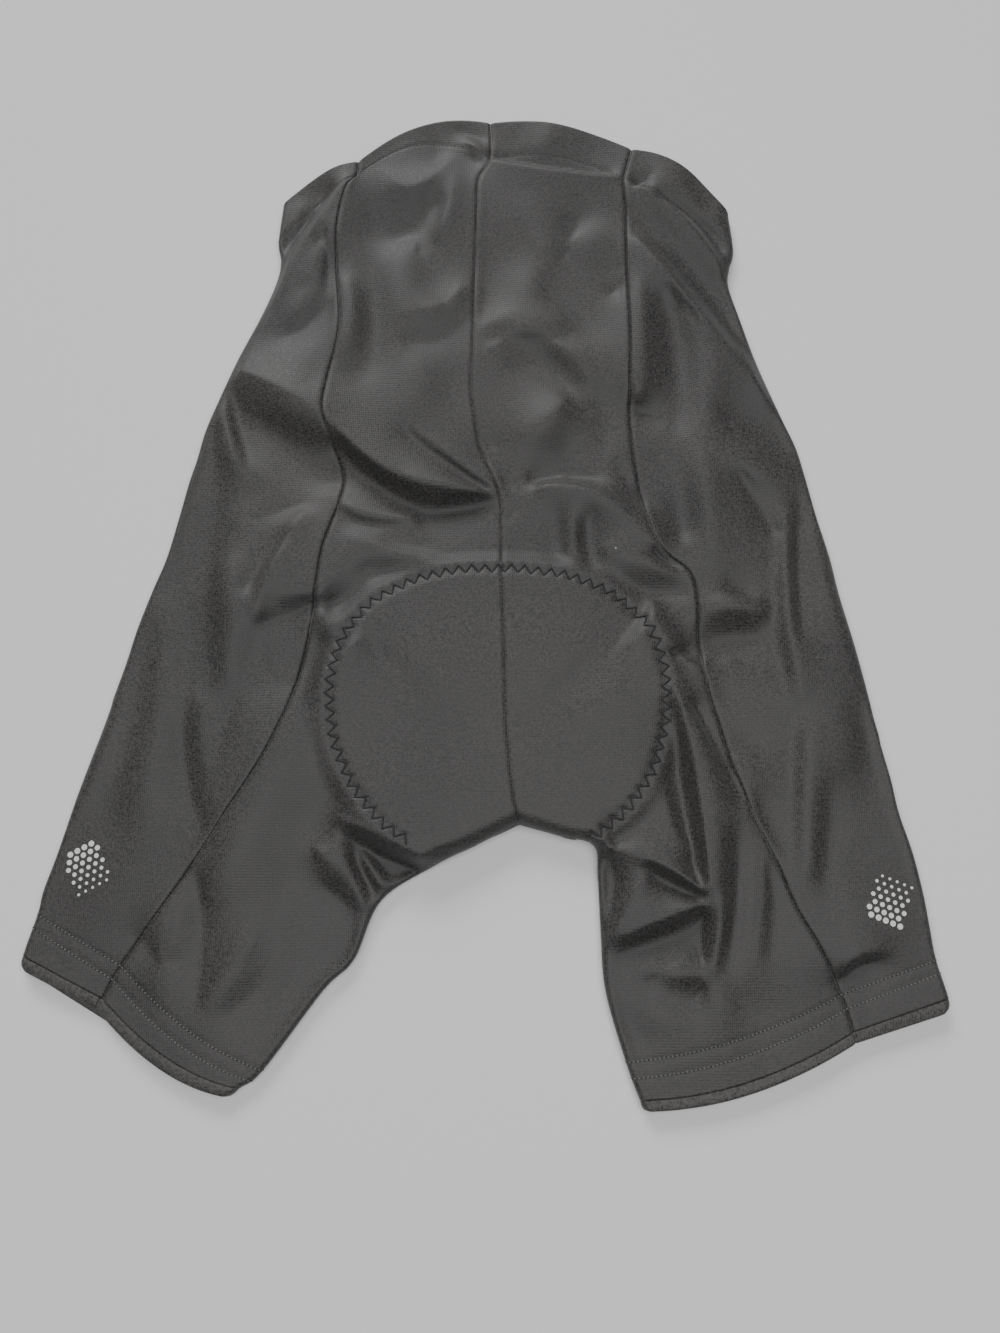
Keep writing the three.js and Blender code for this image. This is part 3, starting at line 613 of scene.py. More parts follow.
# %% Zigzag path round the pad
ZIGZAG_TEETH = 62
ZIGZAG_REACH = 2.5
ZIGZAG_START, ZIGZAG_END = math.radians(-58), math.radians(238)
RING_POINTS = 720
PROBE = 50.0


def zigzag_path():
    """Corners of the zigzag from one end at the crotch edge round the top to the other."""
    angle = np.linspace(ZIGZAG_START, ZIGZAG_END, RING_POINTS)
    direction = np.stack([np.cos(angle), np.sin(angle)], 1)
    probe = np.array([PAD["x"], PAD["y"]]) + direction * PROBE
    radius = PROBE / pad_ring(probe[:, 0], probe[:, 1])
    ring = np.array([PAD["x"], PAD["y"]]) + direction * radius[:, None]
    arc = arc_lengths(ring)
    at = np.linspace(0, arc[-1], 2 * ZIGZAG_TEETH + 1)
    middle = points_at(at, arc, ring)
    tangent = np.gradient(middle, axis=0)
    normal = np.stack([tangent[:, 1], -tangent[:, 0]], 1) / np.linalg.norm(tangent, axis=1)[:, None]
    side = np.where(np.arange(len(at)) % 2 == 0, 1, -1)
    uneven = 1 + 0.16 * np.sin(at * 0.9) + 0.1 * np.sin(at * 2.3 + 1)
    return middle + normal * (side * uneven * ZIGZAG_REACH)[:, None]


ZIGZAG = zigzag_path()
ZIGZAG_STEPS = np.concatenate([ZIGZAG[:-1], ZIGZAG[1:]], 1)
print("zigzag corners:", len(ZIGZAG))

# %% Relief of the sewing
SEAM_SINK, SEAM_WIDTH = 0.6, 1.0
WELT_RISE, WELT_PLACE, WELT_WIDTH = 0.15, 3.0, 2.0
ROW_SINK = 0.35
CHANNEL_DEPTH, CHANNEL_WIDTH, CHANNEL_REACH = 1.0, 3.4, 12.0
DENT_DEPTH, DENT_WIDTH = 0.8, 1.0
MARKS_START = 6.0


def groove(distance, width):
    return np.exp(-(distance / width) ** 2)


def pad_relief(x, y):
    """Channel, needle dents and pull marks along the pad's stitching."""
    off = (pad_ring(x, y) - 1) * PAD["half"]
    near = np.abs(off) < CHANNEL_REACH
    relief = np.zeros(x.shape)
    if near.any():
        dent = distance_to_steps(x[near], y[near], ZIGZAG_STEPS)
        channel = CHANNEL_DEPTH * groove(off[near], CHANNEL_WIDTH)
        relief[near] = -channel - DENT_DEPTH * groove(dent, DENT_WIDTH)
    return relief


def slow_ripple(x, y):
    """Faint unevenness that keeps a flat stretch from looking machined."""
    first = np.sin(x / 17 + 1.3 * np.sin(y / 41)) * np.cos(y / 23 + 0.8)
    second = np.sin(x / 9 + y / 31) * np.sin(y / 12 - x / 37)
    return 0.2 * first + 0.1 * second


# %% [markdown]
# ## Laying the cloth
# One function turns a place on the pattern into a point in space. A half has four stretches in a row: back,
# side, the part of the side that is folded under, and front. Cells crowd together round a fold edge, where
# the surface turns fastest.

# %% Upper and lower layer
def drape(x, y, crown, over, gap, seam_distance=None, rows=None, on_edge=False):
    """Point of the outer face above or below (x, y), with its folds and sewing marks."""
    distance = np.where(on_edge, 0, edge_distance(x, y))
    pad = pad_share(x, y)
    height = mix(EDGE_HEIGHT, crown, smooth(distance / CROWN_REACH))
    rise = sample(CREASE_FILM, FILM_CELL, x, y) * smooth(distance / FOLDS_START) * mix(1, FOLDS_ON_PAD, pad)
    spare = mix(height, PAD_HEIGHT, pad) + rise - LOWEST_TOP
    half = (LOWEST_TOP + (spare + np.hypot(spare, 1)) / 2) / 2
    near = 1 - np.clip(distance / half, 0, 1)
    roll = np.sqrt(1 - near * near) * (half - gap / 2)
    z = half + gap / 2 + roll if over else half - gap / 2 - roll
    if not over:
        return np.stack([x, y, z], -1)
    flat = smooth(distance / MARKS_START)
    z = z + flat * (slow_ripple(x, y) + pad_relief(x, y))
    if seam_distance is not None:
        z = z - SEAM_SINK * groove(seam_distance, SEAM_WIDTH)
        z = z + WELT_RISE * groove(seam_distance - WELT_PLACE, WELT_WIDTH)
    if rows is not None:
        z = z - ROW_SINK * flat * rows
    return np.stack([x, y, z], -1)


# %% Stretches of a half
ROLL_STEPS = 7
COLUMNS = {"back": 76, "side": 60, "under": 22, "front": 30}
PRESSED_ROWS = ((CASING_LINE, 0.055), (HEM_LINE, 0.05), (SECOND_NEEDLE, 0.05))


def crowded(g, columns, share):
    """Distance across a stretch, with its first cells crowded round a fold edge."""
    roll_part = ROLL_STEPS / columns
    rolled = share * (1 - np.cos(np.clip(g / roll_part, 0, 1) * math.pi / 2))
    return np.where(g < roll_part, rolled, share + (1 - share) * (g - roll_part) / (1 - roll_part))


def stretch_ends(half, stretch, s):
    """Both ends of a section within one stretch."""
    inner, fold, front = inner_edge(half, s)[:2], outer_fold(half, s), front_inner(half, s)
    seam = [along(OUTER[half], name, s) for name in ("seam_x", "seam_y")]
    front_seam = [mix(a, b, SIDE_UNDER) for a, b in zip(fold, front)]
    edges = (inner, seam, fold, front_seam, front)
    first = ("back", "side", "under", "front").index(stretch)
    return edges[first:first + 2]


def row_marks(s):
    """How strongly the casing row and the two hem rows press in at section s."""
    marks = np.zeros(s.shape)
    for row, width in PRESSED_ROWS:
        marks = np.maximum(marks, groove(s - row, width))
    return marks


def lay(half, stretch, s, g, gap=SEAM_GAP, columns=None):
    """Points of one stretch, for arrays of sections s and places g from 0 to 1 across it."""
    columns = columns or COLUMNS[stretch]
    (ax, ay), (bx, by) = stretch_ends(half, stretch, s)
    length = np.hypot(bx - ax, by - ay)
    on_inner = stretch in ("back", "front")
    thick = smooth((s - THICK_FROM) / THICK_RAMP) * smooth((THICK_TO - s) / THICK_RAMP) if on_inner else 0
    share = (EDGE_HEIGHT / 2 + thick * (PAD_HEIGHT - EDGE_HEIGHT) / 2) / length
    if stretch in ("back", "under"):
        f = crowded(g, columns, share)
    else:
        f = 1 - crowded(1 - g, columns, share)
    trim = gap / 2 / length
    at_centre = s < CROTCH
    low = 0 if stretch == "under" else np.where(at_centre, trim, 0) if stretch == "back" else trim
    high = 0 if stretch == "side" else np.where(at_centre, trim, 0) if stretch == "front" else trim
    f = mix(low, 1 - high, f)
    bow = along(OUTER[half], stretch + "_bow", s) * 4 * f * (1 - f) if stretch in ("back", "side") else 0
    x, y = mix(ax, bx, f), mix(ay, by, f) + bow
    seam = (1 - f) * length if stretch == "back" else f * length
    if stretch == "back":
        seam = np.minimum(seam, np.where(at_centre, f * length, 1e3))
    crown = inner_edge(half, s)[2]
    on_fold = g == (0 if stretch in ("back", "under") else 1)
    if on_inner:
        on_fold = on_fold & ~at_centre
    return drape(x, y, crown, stretch in ("back", "side"), gap, seam, row_marks(s) + 0 * g, on_fold)


# %% [markdown]
# ## Fine meshes
# A panel is a grid of points and the same grid moved in by the thickness of the cloth, closed all round.
# The edge at the waist and the leg is a turned one, so it is rounded. Blender's Solidify could add the
# thickness, but here the cloth gets thicker at the hem and the casing, which a formula does more simply.

# %% Grid helpers
def section_rows(half, stretches, start, end, step):
    """Sections from start to end, about step millimetres apart."""
    stops = [start] + [k for k in range(math.floor(start) + 1, math.ceil(end))] + [end]
    rows = []
    for a, b in zip(stops[:-1], stops[1:]):
        ends = [np.array(stretch_ends(half, name, np.array([a, b], float))) for name in stretches]
        longest = max(np.linalg.norm(e[:, :, 1] - e[:, :, 0], axis=1).max() for e in ends)
        rows.append(np.linspace(a, b, max(2, math.ceil(longest / step)) + 1)[:-1])
    return np.concatenate(rows + [[end]])


def panel_points(half, stretches, rows, columns=None, gap=SEAM_GAP):
    """Grid of points over several stretches, side by side."""
    columns = columns or COLUMNS
    parts = []
    for k, name in enumerate(stretches):
        g = np.arange(columns[name] + (k == len(stretches) - 1)) / columns[name]
        s_grid, g_grid = np.meshgrid(rows, g, indexing="ij")
        parts.append(lay(half, name, s_grid, g_grid, gap, columns[name]))
    return np.concatenate(parts, 1)


def grid_normals(points, half, wraps=False):
    """Outward direction at each grid point."""
    wide = np.concatenate([points[:, -1:], points, points[:, :1]], 1) if wraps else points
    across = np.gradient(wide, axis=1)[:, 1:-1] if wraps else np.gradient(wide, axis=1)
    down = np.gradient(points, axis=0)
    normal = np.cross(across, down) * (1 if half == "left" else -1)
    return normal / np.maximum(np.linalg.norm(normal, axis=2, keepdims=True), 1e-9)


def round_rows(outer, inner, outward, count=4):
    """Rows that carry a turned edge round from the outer to the inner face."""
    middle = (outer + inner) / 2
    radius = np.linalg.norm(outer - inner, axis=-1, keepdims=True) / 2
    angles = np.linspace(0, math.pi, count + 2)[1:-1]
    return [middle + (outer - middle) * math.cos(a) + outward * radius * math.sin(a) for a in angles]


# %% Mesh from a closed ring of grids
SHIFT = np.array([
    cad_low.x / MM - OUTER["left"]["fold_x"].min(),
    cad_low.y / MM - INNER_LEG["right"]["y"].min(),
    0,
])


def to_frame(points):
    """Drawn millimetres to metres in the shared frame."""
    return (np.asarray(points) + SHIFT) * MM


def new_piece(name, points, faces, smooth_shade=True):
    """Object from points in drawn millimetres."""
    mesh = bpy.data.meshes.new(name)
    mesh.from_pydata(to_frame(points).tolist(), [], faces if isinstance(faces, list) else faces.tolist())
    mesh.validate()
    mesh.polygons.foreach_set("use_smooth", [smooth_shade] * len(mesh.polygons))
    piece = bpy.data.objects.new(name, mesh)
    bpy.context.scene.collection.objects.link(piece)
    return piece


def loop_faces(rows, columns, wrap_columns):
    """Quads of a grid whose last row joins its first; the columns may join too."""
    i = np.arange(rows)[:, None]
    j = np.arange(columns if wrap_columns else columns - 1)[None, :]
    down, right = (i + 1) % rows, (j + 1) % columns
    quads = [i * columns + j, down * columns + j, down * columns + right, i * columns + right]
    return np.stack(np.broadcast_arrays(*quads), -1).reshape(-1, 4)


def cloth_shell(name, half, outer, wall, wrap_columns=False, turned=(False, False)):
    """Closed cloth from its outer grid: outer face, turned edge, inner face, turned edge."""
    normal = grid_normals(outer, half, wrap_columns)
    inner = outer - normal * np.reshape(wall, (-1, 1, 1))
    down = np.gradient(outer, axis=0)
    down /= np.maximum(np.linalg.norm(down, axis=2, keepdims=True), 1e-9)
    end = round_rows(outer[-1], inner[-1], down[-1]) if turned[1] else []
    start = round_rows(inner[0], outer[0], -down[0]) if turned[0] else []
    layers = np.concatenate([outer, np.array(end).reshape(-1, *outer.shape[1:]), inner[::-1],
                             np.array(start).reshape(-1, *outer.shape[1:])])
    rows, columns = layers.shape[:2]
    faces = loop_faces(rows, columns, wrap_columns)
    if half == "right":
        faces = faces[:, ::-1]
    faces = faces.tolist()
    if not wrap_columns:
        faces += side_caps(len(outer), len(end), rows, columns, half)
    return new_piece(name, layers.reshape(-1, 3), faces)


def side_caps(outer_rows, end_rows, rows, columns, half):
    """Faces that close the cut edges of a panel along its first and last column."""
    caps = []
    for column in (0, columns - 1):
        for i in range(outer_rows - 1):
            mirror = 2 * outer_rows + end_rows - 1 - i
            ring = [i * columns + column, mirror * columns + column,
                    (mirror - 1) * columns + column, (i + 1) * columns + column]
            flip = (column == 0) != (half == "left")
            caps.append(ring[::-1] if flip else ring)
        for first, last in ((outer_rows - 1, outer_rows + end_rows), (2 * outer_rows + end_rows - 1, rows)):
            ring = [(k % rows) * columns + column for k in range(first, last + 1)]
            if len(ring) > 2:
                flip = (column == 0) != (half == "left")
                caps.append(ring if flip else ring[::-1])
    return caps


# %% [markdown]
# ## Materials
# The knit is a fine, dense jersey with a matte face. Up close it has rows of tiny loops, and from a step
# away only a grain and a soft sheen on folds. Effects that several materials use are node groups with their
# own inputs, and each material places them with its own values.

# %% Node helpers
def node(tree, kind, inputs=None, **settings):
    """New node with its settings and its unlinked input values."""
    made = tree.nodes.new(kind)
    for name, value in settings.items():
        setattr(made, name, value)
    for name, value in (inputs or {}).items():
        made.inputs[name].default_value = value
    return made


def new_group(name, inputs, outputs):
    """Shader node group with named float sockets."""
    group = bpy.data.node_groups.new(name, "ShaderNodeTree")
    for label, value in inputs.items():
        socket = group.interface.new_socket(label, in_out="INPUT", socket_type="NodeSocketFloat")
        socket.default_value = value
    for label in outputs:
        group.interface.new_socket(label, in_out="OUTPUT", socket_type="NodeSocketFloat")
    return group, group.nodes.new("NodeGroupInput"), group.nodes.new("NodeGroupOutput")


# %% Group: knit loops
def make_knit_group():
    """Rows of loops and a fibre grain, as a height and a fleck mask."""
    inputs = {"Loops per metre": 1900.0, "Grain": 0.5}
    group, source, sink = new_group("knit loops", inputs, ("Height", "Fleck"))
    link = group.links.new
    place = node(group, "ShaderNodeTexCoord")
    scale = node(group, "ShaderNodeVectorMath", operation="SCALE")
    link(place.outputs["Object"], scale.inputs[0])
    link(source.outputs["Loops per metre"], scale.inputs["Scale"])
    across, along_row = {"Scale": 0.16, "Distortion": 1.2}, {"Scale": 0.11, "Distortion": 1.6}
    wales = node(group, "ShaderNodeTexWave", {**across, "Detail": 1.0}, bands_direction="X")
    courses = node(group, "ShaderNodeTexWave", {**along_row, "Detail": 1.0}, bands_direction="Y")
    grain = node(group, "ShaderNodeTexNoise", {"Scale": 0.42, "Detail": 2.0, "Roughness": 0.7})
    for texture in (wales, courses, grain):
        link(scale.outputs[0], texture.inputs["Vector"])
    loops = node(group, "ShaderNodeMath", operation="MULTIPLY")
    link(wales.outputs["Fac"], loops.inputs[0])
    link(courses.outputs["Fac"], loops.inputs[1])
    blend = node(group, "ShaderNodeMix", data_type="FLOAT")
    link(source.outputs["Grain"], blend.inputs["Factor"])
    link(loops.outputs[0], blend.inputs["A"])
    link(grain.outputs["Fac"], blend.inputs["B"])
    contrast = node(group, "ShaderNodeMapRange", {"From Min": 0.35, "From Max": 0.65})
    link(grain.outputs["Fac"], contrast.inputs["Value"])
    link(blend.outputs["Result"], sink.inputs["Height"])
    link(contrast.outputs["Result"], sink.inputs["Fleck"])
    return group


KNIT_LOOPS = make_knit_group()


# %% Group: uneven dye and handling
def make_drift_group():
    """Broad, faint changes of tone, as in dyed cloth that has been worn and washed."""
    group, source, sink = new_group("uneven dye", {"Size": 9.0}, ("Tone",))
    link = group.links.new
    place = node(group, "ShaderNodeTexCoord")
    broad = node(group, "ShaderNodeTexNoise", {"Detail": 3.0, "Roughness": 0.55})
    link(place.outputs["Object"], broad.inputs["Vector"])
    link(source.outputs["Size"], broad.inputs["Scale"])
    level = node(group, "ShaderNodeMapRange", {"From Min": 0.3, "From Max": 0.7})
    link(broad.outputs["Fac"], level.inputs["Value"])
    link(level.outputs["Result"], sink.inputs["Tone"])
    return group


UNEVEN_DYE = make_drift_group()


# %% Group: lint
def make_lint_group():
    """Rare pale specks of lint, as a mask."""
    group, source, sink = new_group("lint", {"Density": 55.0, "Speck": 0.03}, ("Mask",))
    link = group.links.new
    place = node(group, "ShaderNodeTexCoord")
    cells = node(group, "ShaderNodeTexVoronoi")
    link(place.outputs["Object"], cells.inputs["Vector"])
    link(source.outputs["Density"], cells.inputs["Scale"])
    near = node(group, "ShaderNodeMath", operation="LESS_THAN")
    link(cells.outputs["Distance"], near.inputs[0])
    link(source.outputs["Speck"], near.inputs[1])
    rare = node(group, "ShaderNodeSeparateColor")
    link(cells.outputs["Color"], rare.inputs[0])
    few = node(group, "ShaderNodeMath", {1: 0.06}, operation="LESS_THAN")
    link(rare.outputs[0], few.inputs[0])
    both = node(group, "ShaderNodeMath", operation="MULTIPLY")
    link(near.outputs[0], both.inputs[0])
    link(few.outputs[0], both.inputs[1])
    link(both.outputs[0], sink.inputs["Mask"])
    return group


LINT = make_lint_group()
print("node groups:", [group.name for group in (KNIT_LOOPS, UNEVEN_DYE, LINT)])

# %% [markdown]
# ## The cloth finish
# Dark stretch knit isn't black. Its base colour is a warm charcoal that drifts a little, its fibres catch
# light at grazing angles, which the sheen of the Principled shader gives, and its loops break up the
# highlight through a small bump. It is a satin knit: flats that face the lights shine softly, and slopes
# turned away go dark, so folds read clearly. Lint shows as a few pale specks.

# %% Cloth material
def new_material(name):
    """Material, its node tree and its Principled shader."""
    material = bpy.data.materials.new(name)
    material.use_nodes = True
    tree = material.node_tree
    return material, tree, tree.nodes["Principled BSDF"]


def small_bump(tree, shader, height, strength, distance):
    """Bump in metres, from a height socket."""
    raised = node(tree, "ShaderNodeBump", {"Strength": strength, "Distance": distance})
    tree.links.new(height, raised.inputs["Height"])
    tree.links.new(raised.outputs["Normal"], shader.inputs["Normal"])


def blend_colour(tree, factor, dark, light):
    """Colour between two, by a factor socket."""
    made = node(tree, "ShaderNodeMix", data_type="RGBA")
    made.inputs["A"].default_value = (*dark, 1)
    made.inputs["B"].default_value = (*light, 1)
    tree.links.new(factor, made.inputs["Factor"])
    return made.outputs["Result"]


def placed(tree, group, **values):
    made = node(tree, "ShaderNodeGroup", node_tree=group)
    for name, value in values.items():
        made.inputs[name.replace("_", " ")].default_value = value
    return made


def cloth_material(name, dark, light, loops=1900.0, bump=0.5, sheen=0.15, rough=(0.47, 0.67)):
    """Knit or woven finish: uneven dye, loops, sheen and lint."""
    material, tree, shader = new_material(name)
    link = tree.links.new
    dye = placed(tree, UNEVEN_DYE, Size=9.0)
    knit = placed(tree, KNIT_LOOPS, Loops_per_metre=loops, Grain=0.55)
    lint = placed(tree, LINT, Density=55.0, Speck=0.03)
    base = blend_colour(tree, dye.outputs["Tone"], dark, light)
    fleck = node(tree, "ShaderNodeMix", data_type="RGBA", blend_type="OVERLAY")
    fleck.inputs["Factor"].default_value = 0.75
    link(base, fleck.inputs["A"])
    link(knit.outputs["Fleck"], fleck.inputs["B"])
    speck = node(tree, "ShaderNodeMix", data_type="RGBA")
    speck.inputs["B"].default_value = (0.45, 0.45, 0.43, 1)
    link(lint.outputs["Mask"], speck.inputs["Factor"])
    link(fleck.outputs["Result"], speck.inputs["A"])
    link(speck.outputs["Result"], shader.inputs["Base Color"])
    rougher = node(tree, "ShaderNodeMapRange", {"To Min": rough[0], "To Max": rough[1]})
    link(knit.outputs["Fleck"], rougher.inputs["Value"])
    link(rougher.outputs["Result"], shader.inputs["Roughness"])
    small_bump(tree, shader, knit.outputs["Height"], bump, 0.0004)
    shader.inputs["Sheen Weight"].default_value = sheen
    shader.inputs["Sheen Roughness"].default_value = 0.45
    shader.inputs["Specular IOR Level"].default_value = 0.7
    return material


CHARCOAL_KNIT = cloth_material("charcoal knit", (0.028, 0.0262, 0.0255), (0.037, 0.0345, 0.033))
PAD_FLEECE = cloth_material("pad fleece", (0.09, 0.085, 0.08), (0.12, 0.11, 0.1), loops=900.0)
RIBBED_ELASTIC = cloth_material("ribbed elastic", (0.034, 0.032, 0.031), (0.048, 0.045, 0.043), loops=1400.0)


def finish(piece, material, slot, *nodes):
    """Material, body and the solids that a piece stands for; the slot argument is not used."""
    piece.data.materials.append(material)
    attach(piece, "root")
    if nodes:
        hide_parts(*nodes)
    return piece


# %% [markdown]
# ## Panels
# Back and side panels show, so they get cells of about one and a half millimetres. The fronts lie face down
# and can be coarser. Each panel runs from the waist edge to the leg elastic in one piece of cloth, as it
# was cut, and it is thicker where its ends are turned over.

# %% Six panels
CASING_TURN, HEM_TURN = 0.12, 0.1


def wall_of(rows):
    """Cloth thickness down a panel: turned over at the casing and at the hem."""
    casing = 1 - smooth((rows - CASING_LINE) / CASING_TURN)
    hem = smooth((rows - SECOND_NEEDLE) / HEM_TURN)
    return mix(WALL, TURNED_WALL, np.maximum(casing, hem))


PANEL_STRETCHES = {"back": ("back",), "side": ("side", "under"), "front": ("front",)}
ROW_STEP = {"back": 1.5, "side": 1.6, "front": 4.0}
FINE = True
panels = {}
for half in HALVES:
    for panel, stretches in PANEL_STRETCHES.items():
        step = ROW_STEP[panel] * (1 if FINE else 1.6)
        rows = section_rows(half, stretches, WAIST_EDGE, GRIP_LINE - 0.02, step)
        outer = panel_points(half, stretches, rows)
        name = f"{panel}_panel_{half}"
        piece = cloth_shell(name, half, outer, wall_of(rows), turned=(True, False))
        nodes = [f"{prefix}{panel}_{half}" for prefix in ("casing_", "", "hem_")]
        panels[panel, half] = finish(piece, CHARCOAL_KNIT, "charcoal_knit", *nodes)
        print(name, outer.shape[:2], "faces", len(piece.data.polygons))

# %% [markdown]
# ## Leg elastic
# Each leg ends in a narrow ribbed band that grips the thigh. It runs right round the opening as one ring,
# with its ribs across it. The ribs are real relief, a wave along the band, because they catch light at the
# edge.

# %% Leg bands
RIB_PITCH, RIB_HEIGHT = 1.5, 0.18
BAND_ROWS, BAND_PUFF = 7, 0.45
FLAT_BELOW = 0.4
BAND_COLUMNS = {"back": 330, "side": 240, "under": 120, "front": 180}
RING = ("back", "side", "under", "front")


def band_points(half):
    rows = np.linspace(GRIP_LINE + 0.03, LEG_EDGE, BAND_ROWS)
    points = panel_points(half, RING, rows, BAND_COLUMNS, gap=0.0)[:, :-1]
    arc = np.cumsum(np.linalg.norm(np.diff(points[3], axis=0, prepend=points[3][:1]), axis=1))
    rib = RIB_HEIGHT * np.cos(arc / RIB_PITCH * 2 * math.pi)[None, :]
    across = np.linspace(-1, 1, len(rows))[:, None]
    puff = BAND_PUFF * (1 - across ** 2) + rib * (1 - across ** 4)
    normal = grid_normals(points, half, True)
    lowest = points[..., 2] < FLAT_BELOW
    return points + normal * np.where(lowest, 0, puff)[..., None]


bands = {}
for half in HALVES:
    outer = band_points(half)
    piece = cloth_shell(f"leg_band_{half}", half, outer, np.full(len(outer), GRIP_WALL), True, (True, True))
    bands[half] = finish(piece, RIBBED_ELASTIC, "ribbed_elastic", f"grip_{half}")
    print(piece.name, outer.shape[:2])

# %% [markdown]
# ## Seat pad
# The pad is a moulded foam insert inside the shorts. It lies against the back panels, folds round the
# crotch and comes back over the fronts. Only its relief shows, so a smooth folded sheet is enough.

# %% Folded pad
PAD_LEVELS, PAD_ACROSS = 40, 48


def pad_half_width(level):
    upper = level > PAD["y"]
    reach = np.where(upper, PAD["up"], PAD["down"])
    power = np.where(upper, PAD["blunt"], PAD["round"])
    return PAD["half"] * (1 - (np.abs(level - PAD["y"]) / reach) ** power) ** (1 / power) - PAD_INSET


def pad_points():
    """Outer face of the pad: v runs down the upper layer and back under the lower one."""
    start_y, end_y, drift, crown_height = -5.0, -150.0, 4.0, 9.0
    levels, places = np.linspace(0, 2, 2 * PAD_LEVELS + 1), np.linspace(-1, 1, PAD_ACROSS + 1)
    v, u = np.meshgrid(levels, places, indexing="ij")
    depth = 1 - crowded(np.abs(1 - v), PAD_LEVELS, PAD_HEIGHT / 2 / (start_y - end_y))
    x = PAD["x"] + drift * depth + u * pad_half_width(mix(start_y, end_y, depth))
    edge_x = PAD["x"] + drift + u * pad_half_width(np.array(end_y))
    left, right = (inner_edge(half, np.linspace(CROTCH, CROTCH + 1.9, 40)) for half in HALVES)
    crotch_x, crotch_y = (np.concatenate([left[k][::-1], right[k]]) for k in (0, 1))
    y = mix(start_y, np.interp(edge_x, crotch_x, crotch_y) + 0.8, depth)
    crown = np.full(x.shape, crown_height)
    upper, lower = (drape(x, y, crown, over, 0.0) for over in (True, False))
    return np.where((v <= 1)[..., None], upper, lower), v


outer, level = pad_points()
inwards = -grid_normals(outer, "right")
folded = smooth(2.5 * (1 - np.abs(1 - level)) - 1)[..., None]
skin = outer + inwards * (WALL + mix(0.9, 1.8, folded))
pad = cloth_shell("folded_seat_pad", "right", skin, np.full(len(skin), PAD_THICK))
finish(pad, PAD_FLEECE, "pad_foam", "seat_pad")
print(pad.name, "faces", len(pad.data.polygons))

# %% [markdown]
# ## Sewing
# Stitches are small capsules laid along a row on the cloth, all joined into one mesh for each row. Between
# two hem stitches the thread sinks into the cloth, so a capsule of dark thread sits lower there: its dark
# colour is painted shade in the dip. The zigzag is one continuous thread, so it is a thin tube that follows
# its corners. Every stitch lies on the same surface as the cloth.

# %% Thread materials
def thread_material(name, dark, light, rough):
    """Twisted thread: fine twist bands over an uneven dye."""
    material, tree, shader = new_material(name)
    dye = placed(tree, UNEVEN_DYE, Size=60.0)
    tree.links.new(blend_colour(tree, dye.outputs["Tone"], dark, light), shader.inputs["Base Color"])
    place = node(tree, "ShaderNodeTexCoord")
    twist = node(tree, "ShaderNodeTexWave", {"Scale": 900.0, "Distortion": 2.0}, bands_direction="DIAGONAL")
    tree.links.new(place.outputs["Object"], twist.inputs["Vector"])
    small_bump(tree, shader, twist.outputs["Fac"], 0.3, 0.0002)
    shader.inputs["Roughness"].default_value = rough
    return material


DARK_THREAD = thread_material("dark thread", (0.016, 0.016, 0.017), (0.026, 0.025, 0.026), 0.6)
GREY_THREAD = thread_material("grey thread", (0.11, 0.11, 0.108), (0.17, 0.17, 0.165), 0.55)
DULL_THREAD = thread_material("dull thread", (0.045, 0.044, 0.043), (0.07, 0.068, 0.066), 0.65)


# %% Capsules and tubes
def capsule_shape(sides=6):
    """Unit capsule along its first axis: points and faces."""
    rings = [(-1.0, 0.0), (-0.8, 0.7), (-0.3, 1.0), (0.3, 1.0), (0.8, 0.7), (1.0, 0.0)]
    angle = np.arange(sides) * 2 * math.pi / sides
    points = [(x, r * math.cos(a), r * math.sin(a)) for x, r in rings[1:-1] for a in angle]
    points += [(-1.0, 0.0, 0.0), (1.0, 0.0, 0.0)]
    faces = []
    for k in range(len(rings) - 3):
        for j in range(sides):
            a, b = k * sides + j, k * sides + (j + 1) % sides
            faces.append((a, b, b + sides, a + sides))
    tip, last = len(points) - 2, (len(rings) - 3) * sides
    faces += [(tip, (j + 1) % sides, j) for j in range(sides)]
    faces += [(tip + 1, last + j, last + (j + 1) % sides) for j in range(sides)]
    return np.array(points), faces


def stitch_row(name, centres, tangents, normals, length, radius):
    """Many capsules as one mesh."""
    shape, faces = capsule_shape()
    tangents = tangents / np.linalg.norm(tangents, axis=1, keepdims=True)
    sideways = np.cross(normals, tangents)
    sideways /= np.linalg.norm(sideways, axis=1, keepdims=True)
    upright = np.cross(tangents, sideways)
    points = (centres[:, None] + shape[None, :, :1] * tangents[:, None] * length / 2
              + shape[None, :, 1:2] * sideways[:, None] * radius
              + shape[None, :, 2:] * upright[:, None] * radius * 0.6)
    count = len(shape)
    all_faces = [tuple(i + k * count for i in face) for k in range(len(centres)) for face in faces]
    return new_piece(name, points.reshape(-1, 3), all_faces)


def thread_tube(name, path, radius, sides=6):
    """Tube along a line of points, closed at both ends."""
    tangent = np.gradient(path, axis=0)
    tangent /= np.linalg.norm(tangent, axis=1, keepdims=True)
    side = np.cross(tangent, [0, 0, 1.0])
    side /= np.linalg.norm(side, axis=1, keepdims=True)
    up = np.cross(side, tangent)
    angle = np.arange(sides) * 2 * math.pi / sides
    ring = side[:, None] * np.cos(angle)[None, :, None] + up[:, None] * np.sin(angle)[None, :, None]
    points = (path[:, None] + ring * radius).reshape(-1, 3)
    last = (len(path) - 1) * sides
    faces = [(i + j, i + (j + 1) % sides, i + sides + (j + 1) % sides, i + sides + j)
             for i in range(0, last, sides) for j in range(sides)]
    faces += [tuple(range(sides))[::-1], tuple(range(last, last + sides))]
    return new_piece(name, points, faces)


# %% A row of stitches across a section
ROW_PROBE, ROW_COLUMNS, LOOK_ALONG = 0.02, 240, 0.4


